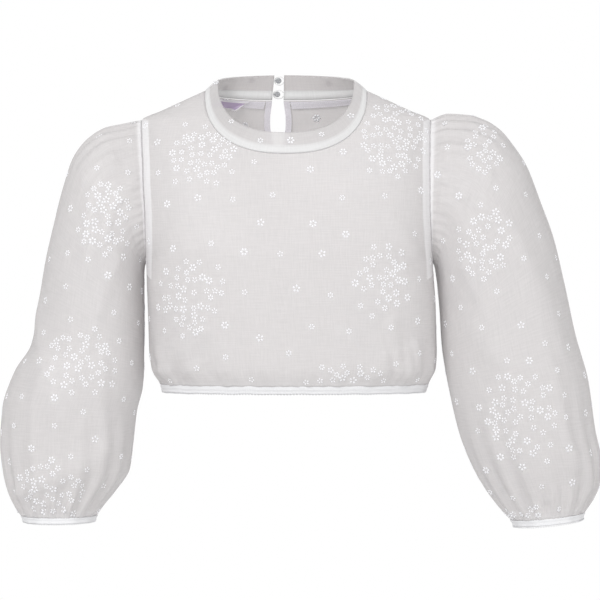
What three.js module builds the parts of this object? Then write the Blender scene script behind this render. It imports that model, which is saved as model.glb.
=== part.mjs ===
// Dirndl blouse in sheer embroidered organza, in the form it has when worn: a short bodice, a stand
// neckband that buttons at the back, and two puff sleeves gathered into the armholes and into elastic cuffs.
// Millimetres, +Z up, the front faces -Y, and left is the wearer's left, at +X.
// The origin is the middle of the neck at shoulder height.

import * as THREE from 'three';
import { mergeVertices } from 'three/addons/utils/BufferGeometryUtils.js';

const { degToRad, radToDeg, lerp, clamp } = THREE.MathUtils;

// Cloth thicknesses, drawn thicker than organza is, and the space between two pieces at a seam
const clothWall = 1.2;
const bandWall = 1.8;
const facingWall = 1;
const seamGap = 0.3;

// Level sections of the bodice, from the neck point down to the hem.
// A corner of 2 is an ellipse, and a higher one is squarer.
const bodiceRows = [
  { height: 6, centre: 0, halfWidth: 93, front: 18, frontCorner: 2.5, back: 46, backCorner: 2.2 },
  { height: -6, centre: 0, halfWidth: 119, front: 28, frontCorner: 2.5, back: 54, backCorner: 2.3 },
  { height: -17, centre: 0, halfWidth: 142.5, front: 37, frontCorner: 2.5, back: 58, backCorner: 2.4 },
  { height: -28, centre: 0, halfWidth: 165.6, front: 45, frontCorner: 2.6, back: 62, backCorner: 2.5 },
  { height: -45, centre: 0, halfWidth: 168, front: 57, frontCorner: 2.8, back: 67, backCorner: 2.6 },
  { height: -71, centre: 0.5, halfWidth: 170, front: 74, frontCorner: 3, back: 74, backCorner: 2.8 },
  { height: -100, centre: 1, halfWidth: 170, front: 87, frontCorner: 3.2, back: 80, backCorner: 3 },
  { height: -150, centre: 2.5, halfWidth: 167, front: 101, frontCorner: 3.1, back: 86, backCorner: 3 },
  { height: -190, centre: 4, halfWidth: 164, front: 110, frontCorner: 2.8, back: 86, backCorner: 2.7 },
  { height: -240, centre: 6.5, halfWidth: 165, front: 112, frontCorner: 2.6, back: 85, backCorner: 2.5 },
  { height: -287, centre: 8, halfWidth: 165, front: 109, frontCorner: 2.4, back: 85, backCorner: 2.4 },
  { height: -312, centre: 9, halfWidth: 163, front: 106, frontCorner: 2.3, back: 84, backCorner: 2.3 },
  { height: -331, centre: 9.5, halfWidth: 154, front: 98, frontCorner: 2.2, back: 82, backCorner: 2.2 },
  { height: -341, centre: 9, halfWidth: 151, front: 93, frontCorner: 2.2, back: 80, backCorner: 2.2 },
];

// Neck seam and the top edge of the neckband
const neckHalfWidth = 93;
const neckPointHeight = bodiceRows[0].height;
const neckFrontDrop = 77;
const neckBackDrop = 7;
const neckCorner = 2.4;
const bandTop = {
  halfWidth: 78, front: 66, back: 53, height: 18.4, frontDrop: 64.9, backDrop: -10.6, backCorner: 2,
};

// Keyhole slit below the back closing, which lies a little to the wearer's right
const slitCentre = -9.9;
const slitRows = [
  { height: 6, halfWidth: 6.5 },
  { height: 0, halfWidth: 6.7 },
  { height: -22, halfWidth: 9.2 },
  { height: -38, halfWidth: 8.4 },
  { height: -50, halfWidth: 5.4 },
  { height: -61, halfWidth: 1.2 },
  { height: -190, halfWidth: 1.2 },
];
const slitRowCount = 6;
const slitSpread = 7;

// Armholes: the shoulder tip and the underarm give the height, and the swings say how many degrees they cut
// into the panels
const shoulderTipHeight = -28;
const underarmHeight = -190;
const armholeFrontSwing = 30;
const armholeBackSwing = 42;
const armholeCorner = 0.8;

// How finely each piece is divided
const shoulderSteps = 4;
const armholeSteps = 13;
const panelSteps = 32;
const lowerLevels = [-218, -246, -272, -296, -315, -330.7];
const rowSag = 26;
const sleeveSteps = 4 * armholeSteps;
const bandSteps = 48;
const cuffSteps = 30;

// Gathers above the hem band: deepest just above it and at the sides
const hemGathers = { count: 11, height: 2.4, top: -262, full: -315, endShare: 0.35, middleShare: 0.3 };
const bodiceFolds = [
  { side: -1, fromX: -140, fromHeight: -318, toX: -92, toHeight: -270, width: 9, height: 2.2 },
  { side: -1, fromX: -146, fromHeight: -296, toX: -118, toHeight: -248, width: 8, height: 1.8 },
  { side: -1, fromX: 132, fromHeight: -318, toX: 118, toHeight: -262, width: 8, height: 2 },
  { side: -1, fromX: 96, fromHeight: -322, toX: 62, toHeight: -272, width: 9, height: 1.6 },
  { side: 1, fromX: -118, fromHeight: -318, toX: -84, toHeight: -262, width: 9, height: 2 },
  { side: 1, fromX: 128, fromHeight: -318, toX: 96, toHeight: -270, width: 9, height: 2.2 },
  { side: 1, fromX: 40, fromHeight: -322, toX: 26, toHeight: -272, width: 9, height: 1.6 },
  { side: 1, fromX: -34, fromHeight: -320, toX: -20, toHeight: -276, width: 9, height: 1.4 },
];

// Hem band
const hemBandTop = -331;
const hemBandBottom = -341;
const hemBandOut = 0.4;

// Rings of the two sleeves, from the armhole to the cuff. Outer is the shoulder side and inner the underarm
// side, depth is half the size from front to back, and middle is where that half starts.
const rightSleeveRows = [
  { outerX: -165.6, outerZ: -28, innerX: -160, innerZ: -190, depth: 54, middle: 6 },
  { outerX: -185, outerZ: -33, innerX: -162, innerZ: -193, depth: 60, middle: 5 },
  { outerX: -206, outerZ: -37, innerX: -163, innerZ: -197, depth: 65, middle: 4 },
  { outerX: -226, outerZ: -48, innerX: -163.2, innerZ: -203, depth: 69, middle: 3 },
  { outerX: -244, outerZ: -70, innerX: -163.2, innerZ: -210, depth: 72, middle: 2 },
  { outerX: -256, outerZ: -105, innerX: -163, innerZ: -222, depth: 74, middle: 1 },
  { outerX: -266, outerZ: -145, innerX: -162.8, innerZ: -240, depth: 75, middle: 0 },
  { outerX: -277, outerZ: -195, innerX: -162.6, innerZ: -262, depth: 75, middle: -1 },
  { outerX: -285, outerZ: -250, innerX: -163, innerZ: -290, depth: 74, middle: -2 },
  { outerX: -292, outerZ: -285, innerX: -163, innerZ: -312, depth: 74, middle: -3 },
  { outerX: -311, outerZ: -316, innerX: -164.5, innerZ: -335, depth: 75, middle: -4 },
  { outerX: -325, outerZ: -358, innerX: -171, innerZ: -362, depth: 74, middle: -5 },
  { outerX: -327, outerZ: -395, innerX: -175, innerZ: -398, depth: 70, middle: -6 },
  { outerX: -323, outerZ: -430, innerX: -179, innerZ: -428, depth: 63, middle: -7 },
  { outerX: -316, outerZ: -455, innerX: -195, innerZ: -453, depth: 54, middle: -7 },
  { outerX: -308, outerZ: -471, innerX: -209, innerZ: -470, depth: 46, middle: -8 },
  { outerX: -303, outerZ: -481, innerX: -216, innerZ: -480.5, depth: 41, middle: -8 },
];
const leftSleeveRows = [
  { outerX: 165.6, outerZ: -28, innerX: 168, innerZ: -190, depth: 54, middle: 6 },
  { outerX: 187, outerZ: -22, innerX: 170, innerZ: -193, depth: 60, middle: 5 },
  { outerX: 209, outerZ: -23, innerX: 171.4, innerZ: -197, depth: 65, middle: 4 },
  { outerX: 228, outerZ: -28, innerX: 172.2, innerZ: -203, depth: 69, middle: 3 },
  { outerX: 246, outerZ: -39, innerX: 173, innerZ: -209, depth: 72, middle: 2 },
  { outerX: 262, outerZ: -58, innerX: 174, innerZ: -217, depth: 74, middle: 1 },
  { outerX: 276, outerZ: -80, innerX: 175, innerZ: -228, depth: 75, middle: 0 },
  { outerX: 293, outerZ: -124, innerX: 176.5, innerZ: -246, depth: 75, middle: -1 },
  { outerX: 307, outerZ: -163, innerX: 177.5, innerZ: -265, depth: 74, middle: -2 },
  { outerX: 320, outerZ: -218, innerX: 179, innerZ: -288, depth: 74, middle: -3 },
  { outerX: 332, outerZ: -274, innerX: 183, innerZ: -315, depth: 75, middle: -4 },
  { outerX: 347, outerZ: -329, innerX: 189, innerZ: -346, depth: 74, middle: -5 },
  { outerX: 354, outerZ: -384, innerX: 199, innerZ: -388, depth: 70, middle: -6 },
  { outerX: 360, outerZ: -418, innerX: 214, innerZ: -426, depth: 63, middle: -7 },
  { outerX: 358, outerZ: -443, innerX: 231, innerZ: -455, depth: 54, middle: -7 },
  { outerX: 350, outerZ: -462, innerX: 246, innerZ: -474, depth: 46, middle: -8 },
  { outerX: 342, outerZ: -477, innerX: 257, innerZ: -486, depth: 41, middle: -8 },
];
const armholeBlend = [1, 0.62, 0.3, 0.1];

// Gathers of a sleeve, as a height for each ring, and its longest folds as a line from ring to ring
const capGathers = { count: 26, spread: 78, heights: [0, 1.7, 1.5, 1, 0.5] };
const cuffGathers = { count: 17, heights: [0.6, 1.9, 2, 1.5, 0.8] };
const rightSleeveFolds = [
  { fromRing: 2, fromAngle: 60, toRing: 6, toAngle: 84, width: 13, height: 2.6 },
  { fromRing: 8, fromAngle: 20, toRing: 11, toAngle: 88, width: 13, height: 3 },
  { fromRing: 12, fromAngle: 150, toRing: 14, toAngle: 40, width: 13, height: 3 },
  { fromRing: 3, fromAngle: -60, toRing: 8, toAngle: -84, width: 13, height: 2.8 },
  { fromRing: 9, fromAngle: -40, toRing: 13, toAngle: -100, width: 14, height: 2.8 },
];
const leftSleeveFolds = [
  { fromRing: 1, fromAngle: 100, toRing: 5, toAngle: 112, width: 12, height: 2.4 },
  { fromRing: 5, fromAngle: 84, toRing: 10, toAngle: 48, width: 13, height: 3.2 },
  { fromRing: 9, fromAngle: 120, toRing: 14, toAngle: 34, width: 14, height: 3.2 },
  { fromRing: 3, fromAngle: -70, toRing: 9, toAngle: -50, width: 13, height: 3 },
  { fromRing: 9, fromAngle: -120, toRing: 13, toAngle: -60, width: 14, height: 2.8 },
];
const ringSpacing = 28;
const millimetresPerDegree = 1.2;

// Cuff bands
const cuffGap = 0.4;
const rightCuff = { outerX: -301, outerZ: -489, innerX: -218, innerZ: -488.5 };
const leftCuff = { outerX: 340, outerZ: -485.5, innerX: 260.5, innerZ: -494.5 };

// Small pieces at the armholes and the back neck, as distances from the seam or the slit's edge
const bindingSpan = [0.8, 8.5];
const slitFacingSpan = [0, 7];
const neckFacingStart = 7.8;
const neckFacingSpan = [0.5, 10];
const label = { fromX: -79, toX: -48, span: [0.8, 5.5, 10, 14.5], curl: 5 };
const buttonRadius = 3.6;
const buttonFacets = 9;
const shankRadius = 0.8;
const shankLength = 1.2;
const buttonHeights = { upper: 22.5, lower: 6.6 };
const loopCord = 0.6;
const closingY = 52.5;

// Materials
function cloth(colour, opacity) {
  return new THREE.MeshStandardMaterial({
    color: colour, roughness: 0.6, metalness: 0, transparent: opacity < 1, opacity, side: THREE.DoubleSide,
  });
}
const organza = cloth('#eeeeef', 0.5);
const doubleOrganza = cloth('#efeff0', 0.72);
const elastic = cloth('#f2f2f4', 1);
const seamTape = cloth('#f3f3f5', 0.9);
const labelSatin = cloth('#c9b6d3', 1);
const crystal = new THREE.MeshStandardMaterial({ color: '#d9dbdd', roughness: 0.08, metalness: 0 });

// Reads a table between its rows on a curve that never overshoots them.
function readRows(rows, key) {
  const names = Object.keys(rows[0]).filter((name) => name !== key);
  const steps = rows.slice(1).map((row, i) => row[key] - rows[i][key]);
  const slopes = {};
  for (const name of names) {
    const chords = steps.map((step, i) => (rows[i + 1][name] - rows[i][name]) / step);
    slopes[name] = rows.map((row, i) => {
      const before = chords[Math.max(i - 1, 0)];
      const after = chords[Math.min(i, chords.length - 1)];
      return before * after <= 0 ? 0 : (2 * before * after) / (before + after);
    });
  }
  return (value) => {
    const last = steps.length - 1;
    let i = 0;
    while (i < last && (value - rows[i + 1][key]) * Math.sign(steps[i]) > 0) {
      i += 1;
    }
    const t = clamp((value - rows[i][key]) / steps[i], 0, 1);
    const result = {};
    for (const name of names) {
      const rise = rows[i + 1][name] - rows[i][name];
      const startSlope = slopes[name][i] * steps[i];
      const endSlope = slopes[name][i + 1] * steps[i];
      const bend = (startSlope - rise) * (1 - t) + (rise - endSlope) * t;
      result[name] = rows[i][name] + rise * t + t * (1 - t) * bend;
    }
    return result;
  };
}
const bodiceAt = readRows(bodiceRows, 'height');
const slitAt = readRows(slitRows, 'height');

// A point of the bodice surface. The angle is 0 at the centre front, 90 at the left side and 180 behind.
function bodicePoint(angle, height) {
  const row = bodiceAt(height);
  const aside = Math.sin(degToRad(angle));
  const ahead = Math.cos(degToRad(angle));
  const corner = ahead >= 0 ? row.frontCorner : row.backCorner;
  const depth = ahead >= 0 ? row.front : row.back;
  const round = (Math.abs(aside) ** corner + Math.abs(ahead) ** corner) ** (1 / corner);
  return new THREE.Vector3(row.centre + (row.halfWidth * aside) / round, (-depth * ahead) / round, height);
}

// The angle at which the front or back surface has a given x. Angles of the back run from 90 to 270.
function bodiceAngle(x, height, isFront) {
  const row = bodiceAt(height);
  const corner = isFront ? row.frontCorner : row.backCorner;
  const aside = clamp((x - row.centre) / row.halfWidth, -1, 1);
  const angle = radToDeg(Math.atan2(aside, (1 - Math.abs(aside) ** corner) ** (1 / corner)));
  return isFront ? angle : 180 - angle;
}

// The neck seam in the same angles, as x and height.
function neckSeam(turn) {
  const aside = Math.sin(degToRad(turn));
  const drop = Math.cos(degToRad(turn)) >= 0 ? neckFrontDrop : neckBackDrop;
  const fall = Math.max(1 - Math.abs(aside) ** neckCorner, 0) ** (1 / neckCorner);
  return { x: neckHalfWidth * aside, height: neckPointHeight - drop * fall };
}

// An armhole's edge. Around is 0 at the shoulder tip, 90 in front, 180 at the underarm and 270 behind.
function armholeEdge(side, around) {
  const swing = Math.sin(degToRad(around));
  const reach = swing >= 0 ? armholeFrontSwing : -armholeBackSwing;
  const angle = side * (90 - reach * Math.abs(swing) ** armholeCorner);
  const half = (shoulderTipHeight - underarmHeight) / 2;
  return { angle, height: underarmHeight + half * (1 + Math.cos(degToRad(around))) };
}

function softStep(from, to, value) {
  return THREE.MathUtils.smoothstep((value - from) / (to - from), 0, 1);
}

// Height of a fold that is a soft ridge along a line.
function ridge(alongX, alongY, pointX, pointY, fold) {
  const length = alongX * alongX + alongY * alongY;
  const share = clamp((pointX * alongX + pointY * alongY) / length, 0, 1);
  const away = Math.hypot(pointX - share * alongX, pointY - share * alongY) / fold.width;
  return fold.height * Math.exp(-away * away);
}

// Gathers and folds of a bodice panel, as a height above its surface. They fade out at the side seams.
function bodiceRelief(angle, height) {
  const point = bodicePoint(angle, height);
  const side = Math.cos(degToRad(angle)) >= 0 ? -1 : 1;
  const sideShare = Math.abs(Math.sin(degToRad(angle)));
  const seamFade = 1 - sideShare ** 24;
  const rise = softStep(hemGathers.top, hemGathers.full, height);
  const fall = lerp(1, hemGathers.endShare, softStep(hemGathers.full, hemBandTop, height));
  const depth = hemGathers.height * lerp(hemGathers.middleShare, 1, sideShare ** 2);
  const wave = Math.sin(degToRad(angle) * 2 * hemGathers.count + Math.sin(degToRad(angle * 3)));
  let relief = depth * rise * fall * wave;
  for (const fold of bodiceFolds.filter((each) => each.side === side)) {
    const alongX = fold.toX - fold.fromX;
    const alongZ = fold.toHeight - fold.fromHeight;
    relief += ridge(alongX, alongZ, point.x - fold.fromX, height - fold.fromHeight, fold) * fall;
  }
  return relief * seamFade;
}

// Outward directions at the points of a grid. Rows run downward, and columns from the front to the left.
function gridNormals(grid, isClosed = false) {
  const lastRow = grid.length - 1;
  const count = grid[0].length;
  return grid.map((row, i) => row.map((point, j) => {
    const before = isClosed ? row[(j + count - 1) % count] : row[Math.max(j - 1, 0)];
    const after = isClosed ? row[(j + 1) % count] : row[Math.min(j + 1, count - 1)];
    const up = grid[Math.max(i - 1, 0)][j].clone().sub(grid[Math.min(i + 1, lastRow)][j]);
    return after.clone().sub(before).cross(up).normalize();
  }));
}

// A closed wall: the grid is its outer face, the inner face lies a thickness in from it, and rims join them.
// Cells that isOpen names are left out.
function wallGeometry(grid, normals, thickness, isClosed = false, isOpen = () => false) {
  const rowCount = grid.length;
  const count = grid[0].length;
  const positions = [];
  for (const depth of [0, thickness]) {
    grid.forEach((row, i) => row.forEach((point, j) => {
      positions.push(...point.clone().addScaledVector(normals[i][j], -depth));
    }));
  }
  const cellCount = isClosed ? count : count - 1;
  const outer = (i, j) => i * count + (j % count);
  const inner = (i, j) => rowCount * count + outer(i, j);
  const isCell = (i, j) => {
    const column = isClosed ? (j + count) % count : j;
    return i >= 0 && i < rowCount - 1 && column >= 0 && column < cellCount && !isOpen(i, column);
  };
  const faces = [];
  const quad = (a, b, c, d) => faces.push(a, b, c, a, c, d);
  for (let i = 0; i < rowCount - 1; i += 1) {
    for (let j = 0; j < cellCount; j += 1) {
      if (!isCell(i, j)) {
        continue;
      }
      quad(outer(i, j), outer(i + 1, j), outer(i + 1, j + 1), outer(i, j + 1));
      quad(inner(i, j), inner(i, j + 1), inner(i + 1, j + 1), inner(i + 1, j));
      if (!isCell(i - 1, j)) {
        quad(outer(i, j), outer(i, j + 1), inner(i, j + 1), inner(i, j));
      }
      if (!isCell(i + 1, j)) {
        quad(outer(i + 1, j + 1), outer(i + 1, j), inner(i + 1, j), inner(i + 1, j + 1));
      }
      if (!isCell(i, j - 1)) {
        quad(outer(i + 1, j), outer(i, j), inner(i, j), inner(i + 1, j));
      }
      if (!isCell(i, j + 1)) {
        quad(outer(i, j + 1), outer(i + 1, j + 1), inner(i + 1, j + 1), inner(i, j + 1));
      }
    }
  }
  const geometry = new THREE.BufferGeometry();
  geometry.setAttribute('position', new THREE.Float32BufferAttribute(positions, 3));
  geometry.setIndex(faces);
  return geometry;
}

const blouse = new THREE.Group();

function addPiece(name, geometry, material) {
  const mesh = new THREE.Mesh(geometry, material);
  mesh.name = name;
  blouse.add(mesh);
  return mesh;
}

// The rows of a panel start and end on its side edges: the shoulder seam, the armhole and the side seam.
const underarmRow = shoulderSteps + armholeSteps;
const sideHeights = [
  ...Array.from({ length: shoulderSteps }, (_, i) => {
    return lerp(neckPointHeight, shoulderTipHeight, i / shoulderSteps);
  }),
  ...Array.from({ length: armholeSteps + 1 }, (_, i) => armholeEdge(1, (180 * i) / armholeSteps).height),
  ...lowerLevels,
];

// The angle from the centre to the side edge at a height.
function sideReach(height, isFront) {
  const half = (shoulderTipHeight - underarmHeight) / 2;
  const level = (height - underarmHeight) / half - 1;
  if (Math.abs(level) >= 1) {
    return 90;
  }
  const swing = Math.sqrt(1 - level * level) ** armholeCorner;
  return 90 - (isFront ? armholeFrontSwing : armholeBackSwing) * swing;
}

// The rows begin as the neck seam, hang lower in the middle than at the underarm, and end level at the hem.
function panelRows(isFront) {
  const middleAngle = isFront ? 0 : 180;
  const steps = isFront ? panelSteps : panelSteps + 1;
  const hem = sideHeights[sideHeights.length - 1];
  return sideHeights.map((sideHeight, i) => {
    const share = Math.min(i / underarmRow, 1);
    const armholeShare = Math.max(i - shoulderSteps, 0) / armholeSteps;
    const even = lerp(shoulderTipHeight, underarmHeight - rowSag, armholeShare);
    const lowerSag = (rowSag * (hem - sideHeight)) / (hem - underarmHeight);
    const upperSag = i <= shoulderSteps ? 0 : sideHeight - even;
    const sag = i < underarmRow ? upperSag : lowerSag;
    const narrow = sideReach(sideHeight, isFront) / 90;
    const spread = lerp(2.4, isFront ? 1.3 : 0.6, softStep(0.2, 0.55, share));
    return Array.from({ length: steps + 1 }, (_, j) => {
      const across = (2 * j) / steps - 1;
      const turn = 90 * Math.sin((Math.PI / 2) * across);
      const neck = neckSeam(isFront ? turn : 180 + turn);
      const neckAngle = bodiceAngle(neck.x, neck.height, isFront) - middleAngle;
      const away = 1 - lerp(softStep(0, 1, Math.abs(across)), across ** 4, share * share);
      const seamDrop = (neck.height - neckPointHeight) * (1 - share);
      const reach = lerp(1, narrow, Math.abs(across) ** spread);
      return {
        angle: middleAngle + lerp(neckAngle, 90 * across, share) * reach,
        height: sideHeight + seamDrop - sag * away,
      };
    });
  });
}

// Moves the columns beside the slit to follow its edge.
function besideSlit(row) {
  const half = panelSteps / 2;
  const shiftOf = ({ angle, height }, side) => {
    return slitCentre + side * slitAt(height).halfWidth - bodicePoint(angle, height).x;
  };
  const left = shiftOf(row[half], 1);
  const right = shiftOf(row[half + 1], -1);
  return row.map(({ angle, height }, i) => {
    const away = i <= half ? half - i : i - half - 1;
    const near = Math.max(1 - away / slitSpread, 0) ** 1.5;
    const x = bodicePoint(angle, height).x + near * (i <= half ? left : right);
    return { angle: near > 0 ? bodiceAngle(x, height, false) : angle, height };
  });
}

// The outer face of a panel and the directions out of it. At the shoulder and side seams the walls of the
// two panels face each other squarely.
function directionOut(pointAt, angle, height) {
  const step = 0.5;
  const across = pointAt(angle + step, height).sub(pointAt(angle - step, height));
  return across.cross(pointAt(angle, height + step).sub(pointAt(angle, height - step))).normalize();
}
function reliefPoint(angle, height) {
  const out = directionOut(bodicePoint, angle, height);
  return bodicePoint(angle, height).addScaledVector(out, bodiceRelief(angle, height));
}
function panelSurface(isFront) {
  const rows = isFront ? panelRows(isFront) : panelRows(isFront).map(besideSlit);
  const seamShift = ((isFront ? -1 : 1) * seamGap) / 2;
  const grid = rows.map((row) => row.map(({ angle, height }) => {
    const point = reliefPoint(angle, height);
    return point.setY(point.y + seamShift);
  }));
  const normals = rows.map((row, i) => row.map(({ angle, height }, j) => {
    const out = directionOut(reliefPoint, angle, height);
    return Math.abs(grid[i][j].y) < seamGap ? out.setY(0).normalize() : out;
  }));
  return { grid, normals };
}
const frontColumns = panelSteps;
const backColumns = panelSteps + 1;
const slitColumn = panelSteps / 2;
const isSlit = (row, column) => column === slitColumn && row < slitRowCount;
const frontPanel = panelSurface(true);
const backPanel = panelSurface(false);
addPiece('front', wallGeometry(frontPanel.grid, frontPanel.normals, clothWall), organza);
addPiece('back', wallGeometry(backPanel.grid, backPanel.normals, clothWall, false, isSlit), organza);

// Neckband, a double strip on the neck seam that leans in to its top edge
const slitEdge = (side) => slitCentre + side * slitAt(neckPointHeight).halfWidth;
function bandTopPoint({ x, y }) {
  const aside = clamp(x / neckHalfWidth, -1, 1);
  const isAhead = y < seamGap;
  const corner = isAhead ? neckCorner : bandTop.backCorner;
  const drop = isAhead ? bandTop.frontDrop : bandTop.backDrop;
  const fall = (1 - Math.abs(aside) ** corner) ** (1 / corner);
  const depth = isAhead ? -bandTop.front : bandTop.back;
  const out = Math.sqrt(1 - aside * aside);
  return new THREE.Vector3(bandTop.halfWidth * aside, depth * out, bandTop.height - drop * fall);
}
function neckbandRows() {
  const seam = [
    ...backPanel.grid[0].slice(slitColumn + 1, -1),
    ...frontPanel.grid[0],
    ...backPanel.grid[0].slice(1, slitColumn + 1),
  ];
  const top = seam.map(bandTopPoint);
  const foot = seam.map((point, i) => point.clone().lerp(top[i], (2 * seamGap) / point.distanceTo(top[i])));
  const middle = foot.map((point, i) => point.clone().lerp(top[i], 0.5));
  return [top, middle, foot];
}
const neckbandGrid = neckbandRows();
addPiece('neckband', wallGeometry(neckbandGrid, gridNormals(neckbandGrid), bandWall), doubleOrganza);

// Sleeves
function ringPoint(row, around) {
  const across = Math.cos(degToRad(around));
  const x = lerp(row.innerX, row.outerX, (1 + across) / 2);
  const z = lerp(row.innerZ, row.outerZ, (1 + across) / 2);
  return new THREE.Vector3(x, row.middle - row.depth * Math.sin(degToRad(around)), z);
}

// A point of the armhole's seam on the straight lines between the panels' own edge points.
function armholeSeamPoint(side, step) {
  const loop = 2 * armholeSteps;
  const edgePoint = (index) => {
    const turn = index % loop;
    const isFront = turn <= armholeSteps;
    const row = (isFront ? frontPanel : backPanel).grid[shoulderSteps + (isFront ? turn : loop - turn)];
    const isFirst = isFront ? side < 0 : side > 0;
    return isFirst ? row[0] : row[row.length - 1];
  };
  const share = step / 2;
  const from = edgePoint(Math.floor(share));
  return from.clone().lerp(edgePoint(Math.ceil(share)), share - Math.floor(share));
}

function sleeveRelief(ring, around, lastRing, folds) {
  const signed = around > 180 ? around - 360 : around;
  const capShare = Math.max(1 - (Math.abs(signed) / capGathers.spread) ** 4, 0);
  const cap = (capGathers.heights[ring] ?? 0) * capShare * Math.cos(degToRad(around * capGathers.count));
  const swell = 1 + 0.4 * Math.sin(degToRad(around * 3 + 50));
  const cuffHeight = (cuffGathers.heights[lastRing - ring] ?? 0) * swell;
  const cuff = cuffHeight * Math.cos(degToRad(around * cuffGathers.count));
  const fromBody = softStep(178, 120, Math.abs(signed));
  let relief = cap + cuff * lerp(0.4, 1, fromBody);
  for (const fold of folds) {
    const alongRing = (fold.toRing - fold.fromRing) * ringSpacing;
    const alongTurn = (fold.toAngle - fold.fromAngle) * millimetresPerDegree;
    const overRing = (ring - fold.fromRing) * ringSpacing;
    const overTurn = (signed - fold.fromAngle) * millimetresPerDegree;
    relief += ridge(alongRing, alongTurn, overRing, overTurn, fold) * fromBody * Math.min(ring, 1);
  }
  return relief;
}

function sleeveGrid(side, rows, folds) {
  const seam = Array.from({ length: sleeveSteps }, (_, step) => armholeSeamPoint(side, step));
  const turnAt = (step) => (360 * step) / sleeveSteps;
  const plain = rows.map((row, ring) => seam.map((point, step) => {
    const offset = point.clone().sub(ringPoint(rows[0], turnAt(step)));
    return ringPoint(row, turnAt(step)).addScaledVector(offset, armholeBlend[ring] ?? 0);
  }));
  plain[0] = plain[0].map((point, step) => {
    const next = plain[1][step];
    return point.clone().lerp(next, (1.5 * seamGap) / point.distanceTo(next));
  });
  const ordered = side > 0 ? plain.map((ring) => [ring[0], ...ring.slice(1).reverse()]) : plain;
  const normals = gridNormals(ordered, true);
  return ordered.map((ring, i) => ring.map((point, j) => {
    const turn = turnAt(side > 0 ? (sleeveSteps - j) % sleeveSteps : j);
    return point.clone().addScaledVector(normals[i][j], sleeveRelief(i, turn, rows.length - 1, folds));
  }));
}

function cuffGrid(side, sleeveEnd, end) {
  const start = {
    ...sleeveEnd,
    outerX: lerp(sleeveEnd.outerX, end.outerX, cuffGap / 8),
    outerZ: sleeveEnd.outerZ - cuffGap,
    innerX: lerp(sleeveEnd.innerX, end.innerX, cuffGap / 8),
    innerZ: sleeveEnd.innerZ - cuffGap,
  };
  const finish = { ...sleeveEnd, ...end };
  return [start, finish].map((row) => Array.from({ length: cuffSteps }, (_, i) => {
    return ringPoint(row, (-side * 360 * i) / cuffSteps);
  }));
}

const sleeves = [
  { name: 'left', side: 1, rows: leftSleeveRows, folds: leftSleeveFolds, cuff: leftCuff },
  { name: 'right', side: -1, rows: rightSleeveRows, folds: rightSleeveFolds, cuff: rightCuff },
];
for (const { name, side, rows, folds, cuff } of sleeves) {
  const grid = sleeveGrid(side, rows, folds);
  addPiece(`sleeve_${name}`, wallGeometry(grid, gridNormals(grid, true), clothWall, true), organza);
  const cuffRings = cuffGrid(side, rows[rows.length - 1], cuff);
  addPiece(`cuff_${name}`, wallGeometry(cuffRings, gridNormals(cuffRings, true), bandWall, true), elastic);
}

// Hem band
const hemGrid = [hemBandTop, hemBandBottom].map((height) => Array.from({ length: bandSteps }, (_, i) => {
  const point = bodicePoint((360 * i) / bandSteps, height);
  const outward = new THREE.Vector3(point.x, point.y, 0).normalize();
  return point.addScaledVector(outward, hemBandOut);
}));
addPiece('hem_band', wallGeometry(hemGrid, gridNormals(hemGrid, true), bandWall, true), elastic);

// A point of a panel between its grid points, moved in from its outer face by a depth.
function panelPoint({ grid, normals }, { row, column, depth = 0 }) {
  const i = Math.min(Math.floor(row), grid.length - 2);
  const j = Math.min(Math.floor(column), grid[0].length - 2);
  const blend = (source) => {
    const above = source[i][j].clone().lerp(source[i][j + 1], column - j);
    const below = source[i + 1][j].clone().lerp(source[i + 1][j + 1], column - j);
    return above.lerp(below, row - i);
  };
  return blend(grid).addScaledVector(blend(normals), -depth);
}

// How many steps along a line of points a distance reaches, as a count with a fraction.
function stepsAlong(points, distance) {
  let rest = distance;
  for (let i = 0; i < points.length - 1; i += 1) {
    const length = points[i].distanceTo(points[i + 1]);
    if (rest <= length) {
      return i + rest / length;
    }
    rest -= length;
  }
  return points.length - 1;
}
const rowFrom = ({ grid }, row, start, way) => {
  return way > 0 ? grid[row].slice(start) : grid[row].slice(0, start + 1).reverse();
};
const columnAt = (panel, row, start, way, distance) => {
  return start + way * stepsAlong(rowFrom(panel, row, start, way), distance);
};
const rowAt = (panel, column, distance) => {
  return stepsAlong(panel.grid.map((_, row) => panelPoint(panel, { row, column })), distance);
};
const listFrom = (start, count) => Array.from({ length: count }, (_, i) => start + i);
const facingDepth = clothWall + 2 * seamGap;

function stripGeometry(panel, places) {
  const pointAt = (place) => panelPoint(panel, { depth: facingDepth, ...place });
  const strip = places.map((row) => row.map(pointAt));
  return wallGeometry(strip, gridNormals(strip), facingWall);
}

// A strip inside a panel beside the edge at a column, and reaching from it to one side.
function edgeStrip(panel, rows, start, way, span) {
  const distances = way > 0 ? span : [...span].reverse();
  const places = rows.map((row) => distances.map((distance) => {
    return { row, column: columnAt(panel, row, start, way, distance) };
  }));
  return stripGeometry(panel, places);
}

// Armhole bindings, on the seam allowances inside the bodice
const bindingRows = listFrom(shoulderSteps + 1, armholeSteps - 1);
const bindings = [
  { name: 'front_right', panel: frontPanel, start: 0, way: 1 },
  { name: 'front_left', panel: frontPanel, start: frontColumns, way: -1 },
  { name: 'back_left', panel: backPanel, start: 0, way: 1 },
  { name: 'back_right', panel: backPanel, start: backColumns, way: -1 },
];
for (const { name, panel, start, way } of bindings) {
  addPiece(`armhole_binding_${name}`, edgeStrip(panel, bindingRows, start, way, bindingSpan), seamTape);
}

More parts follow.
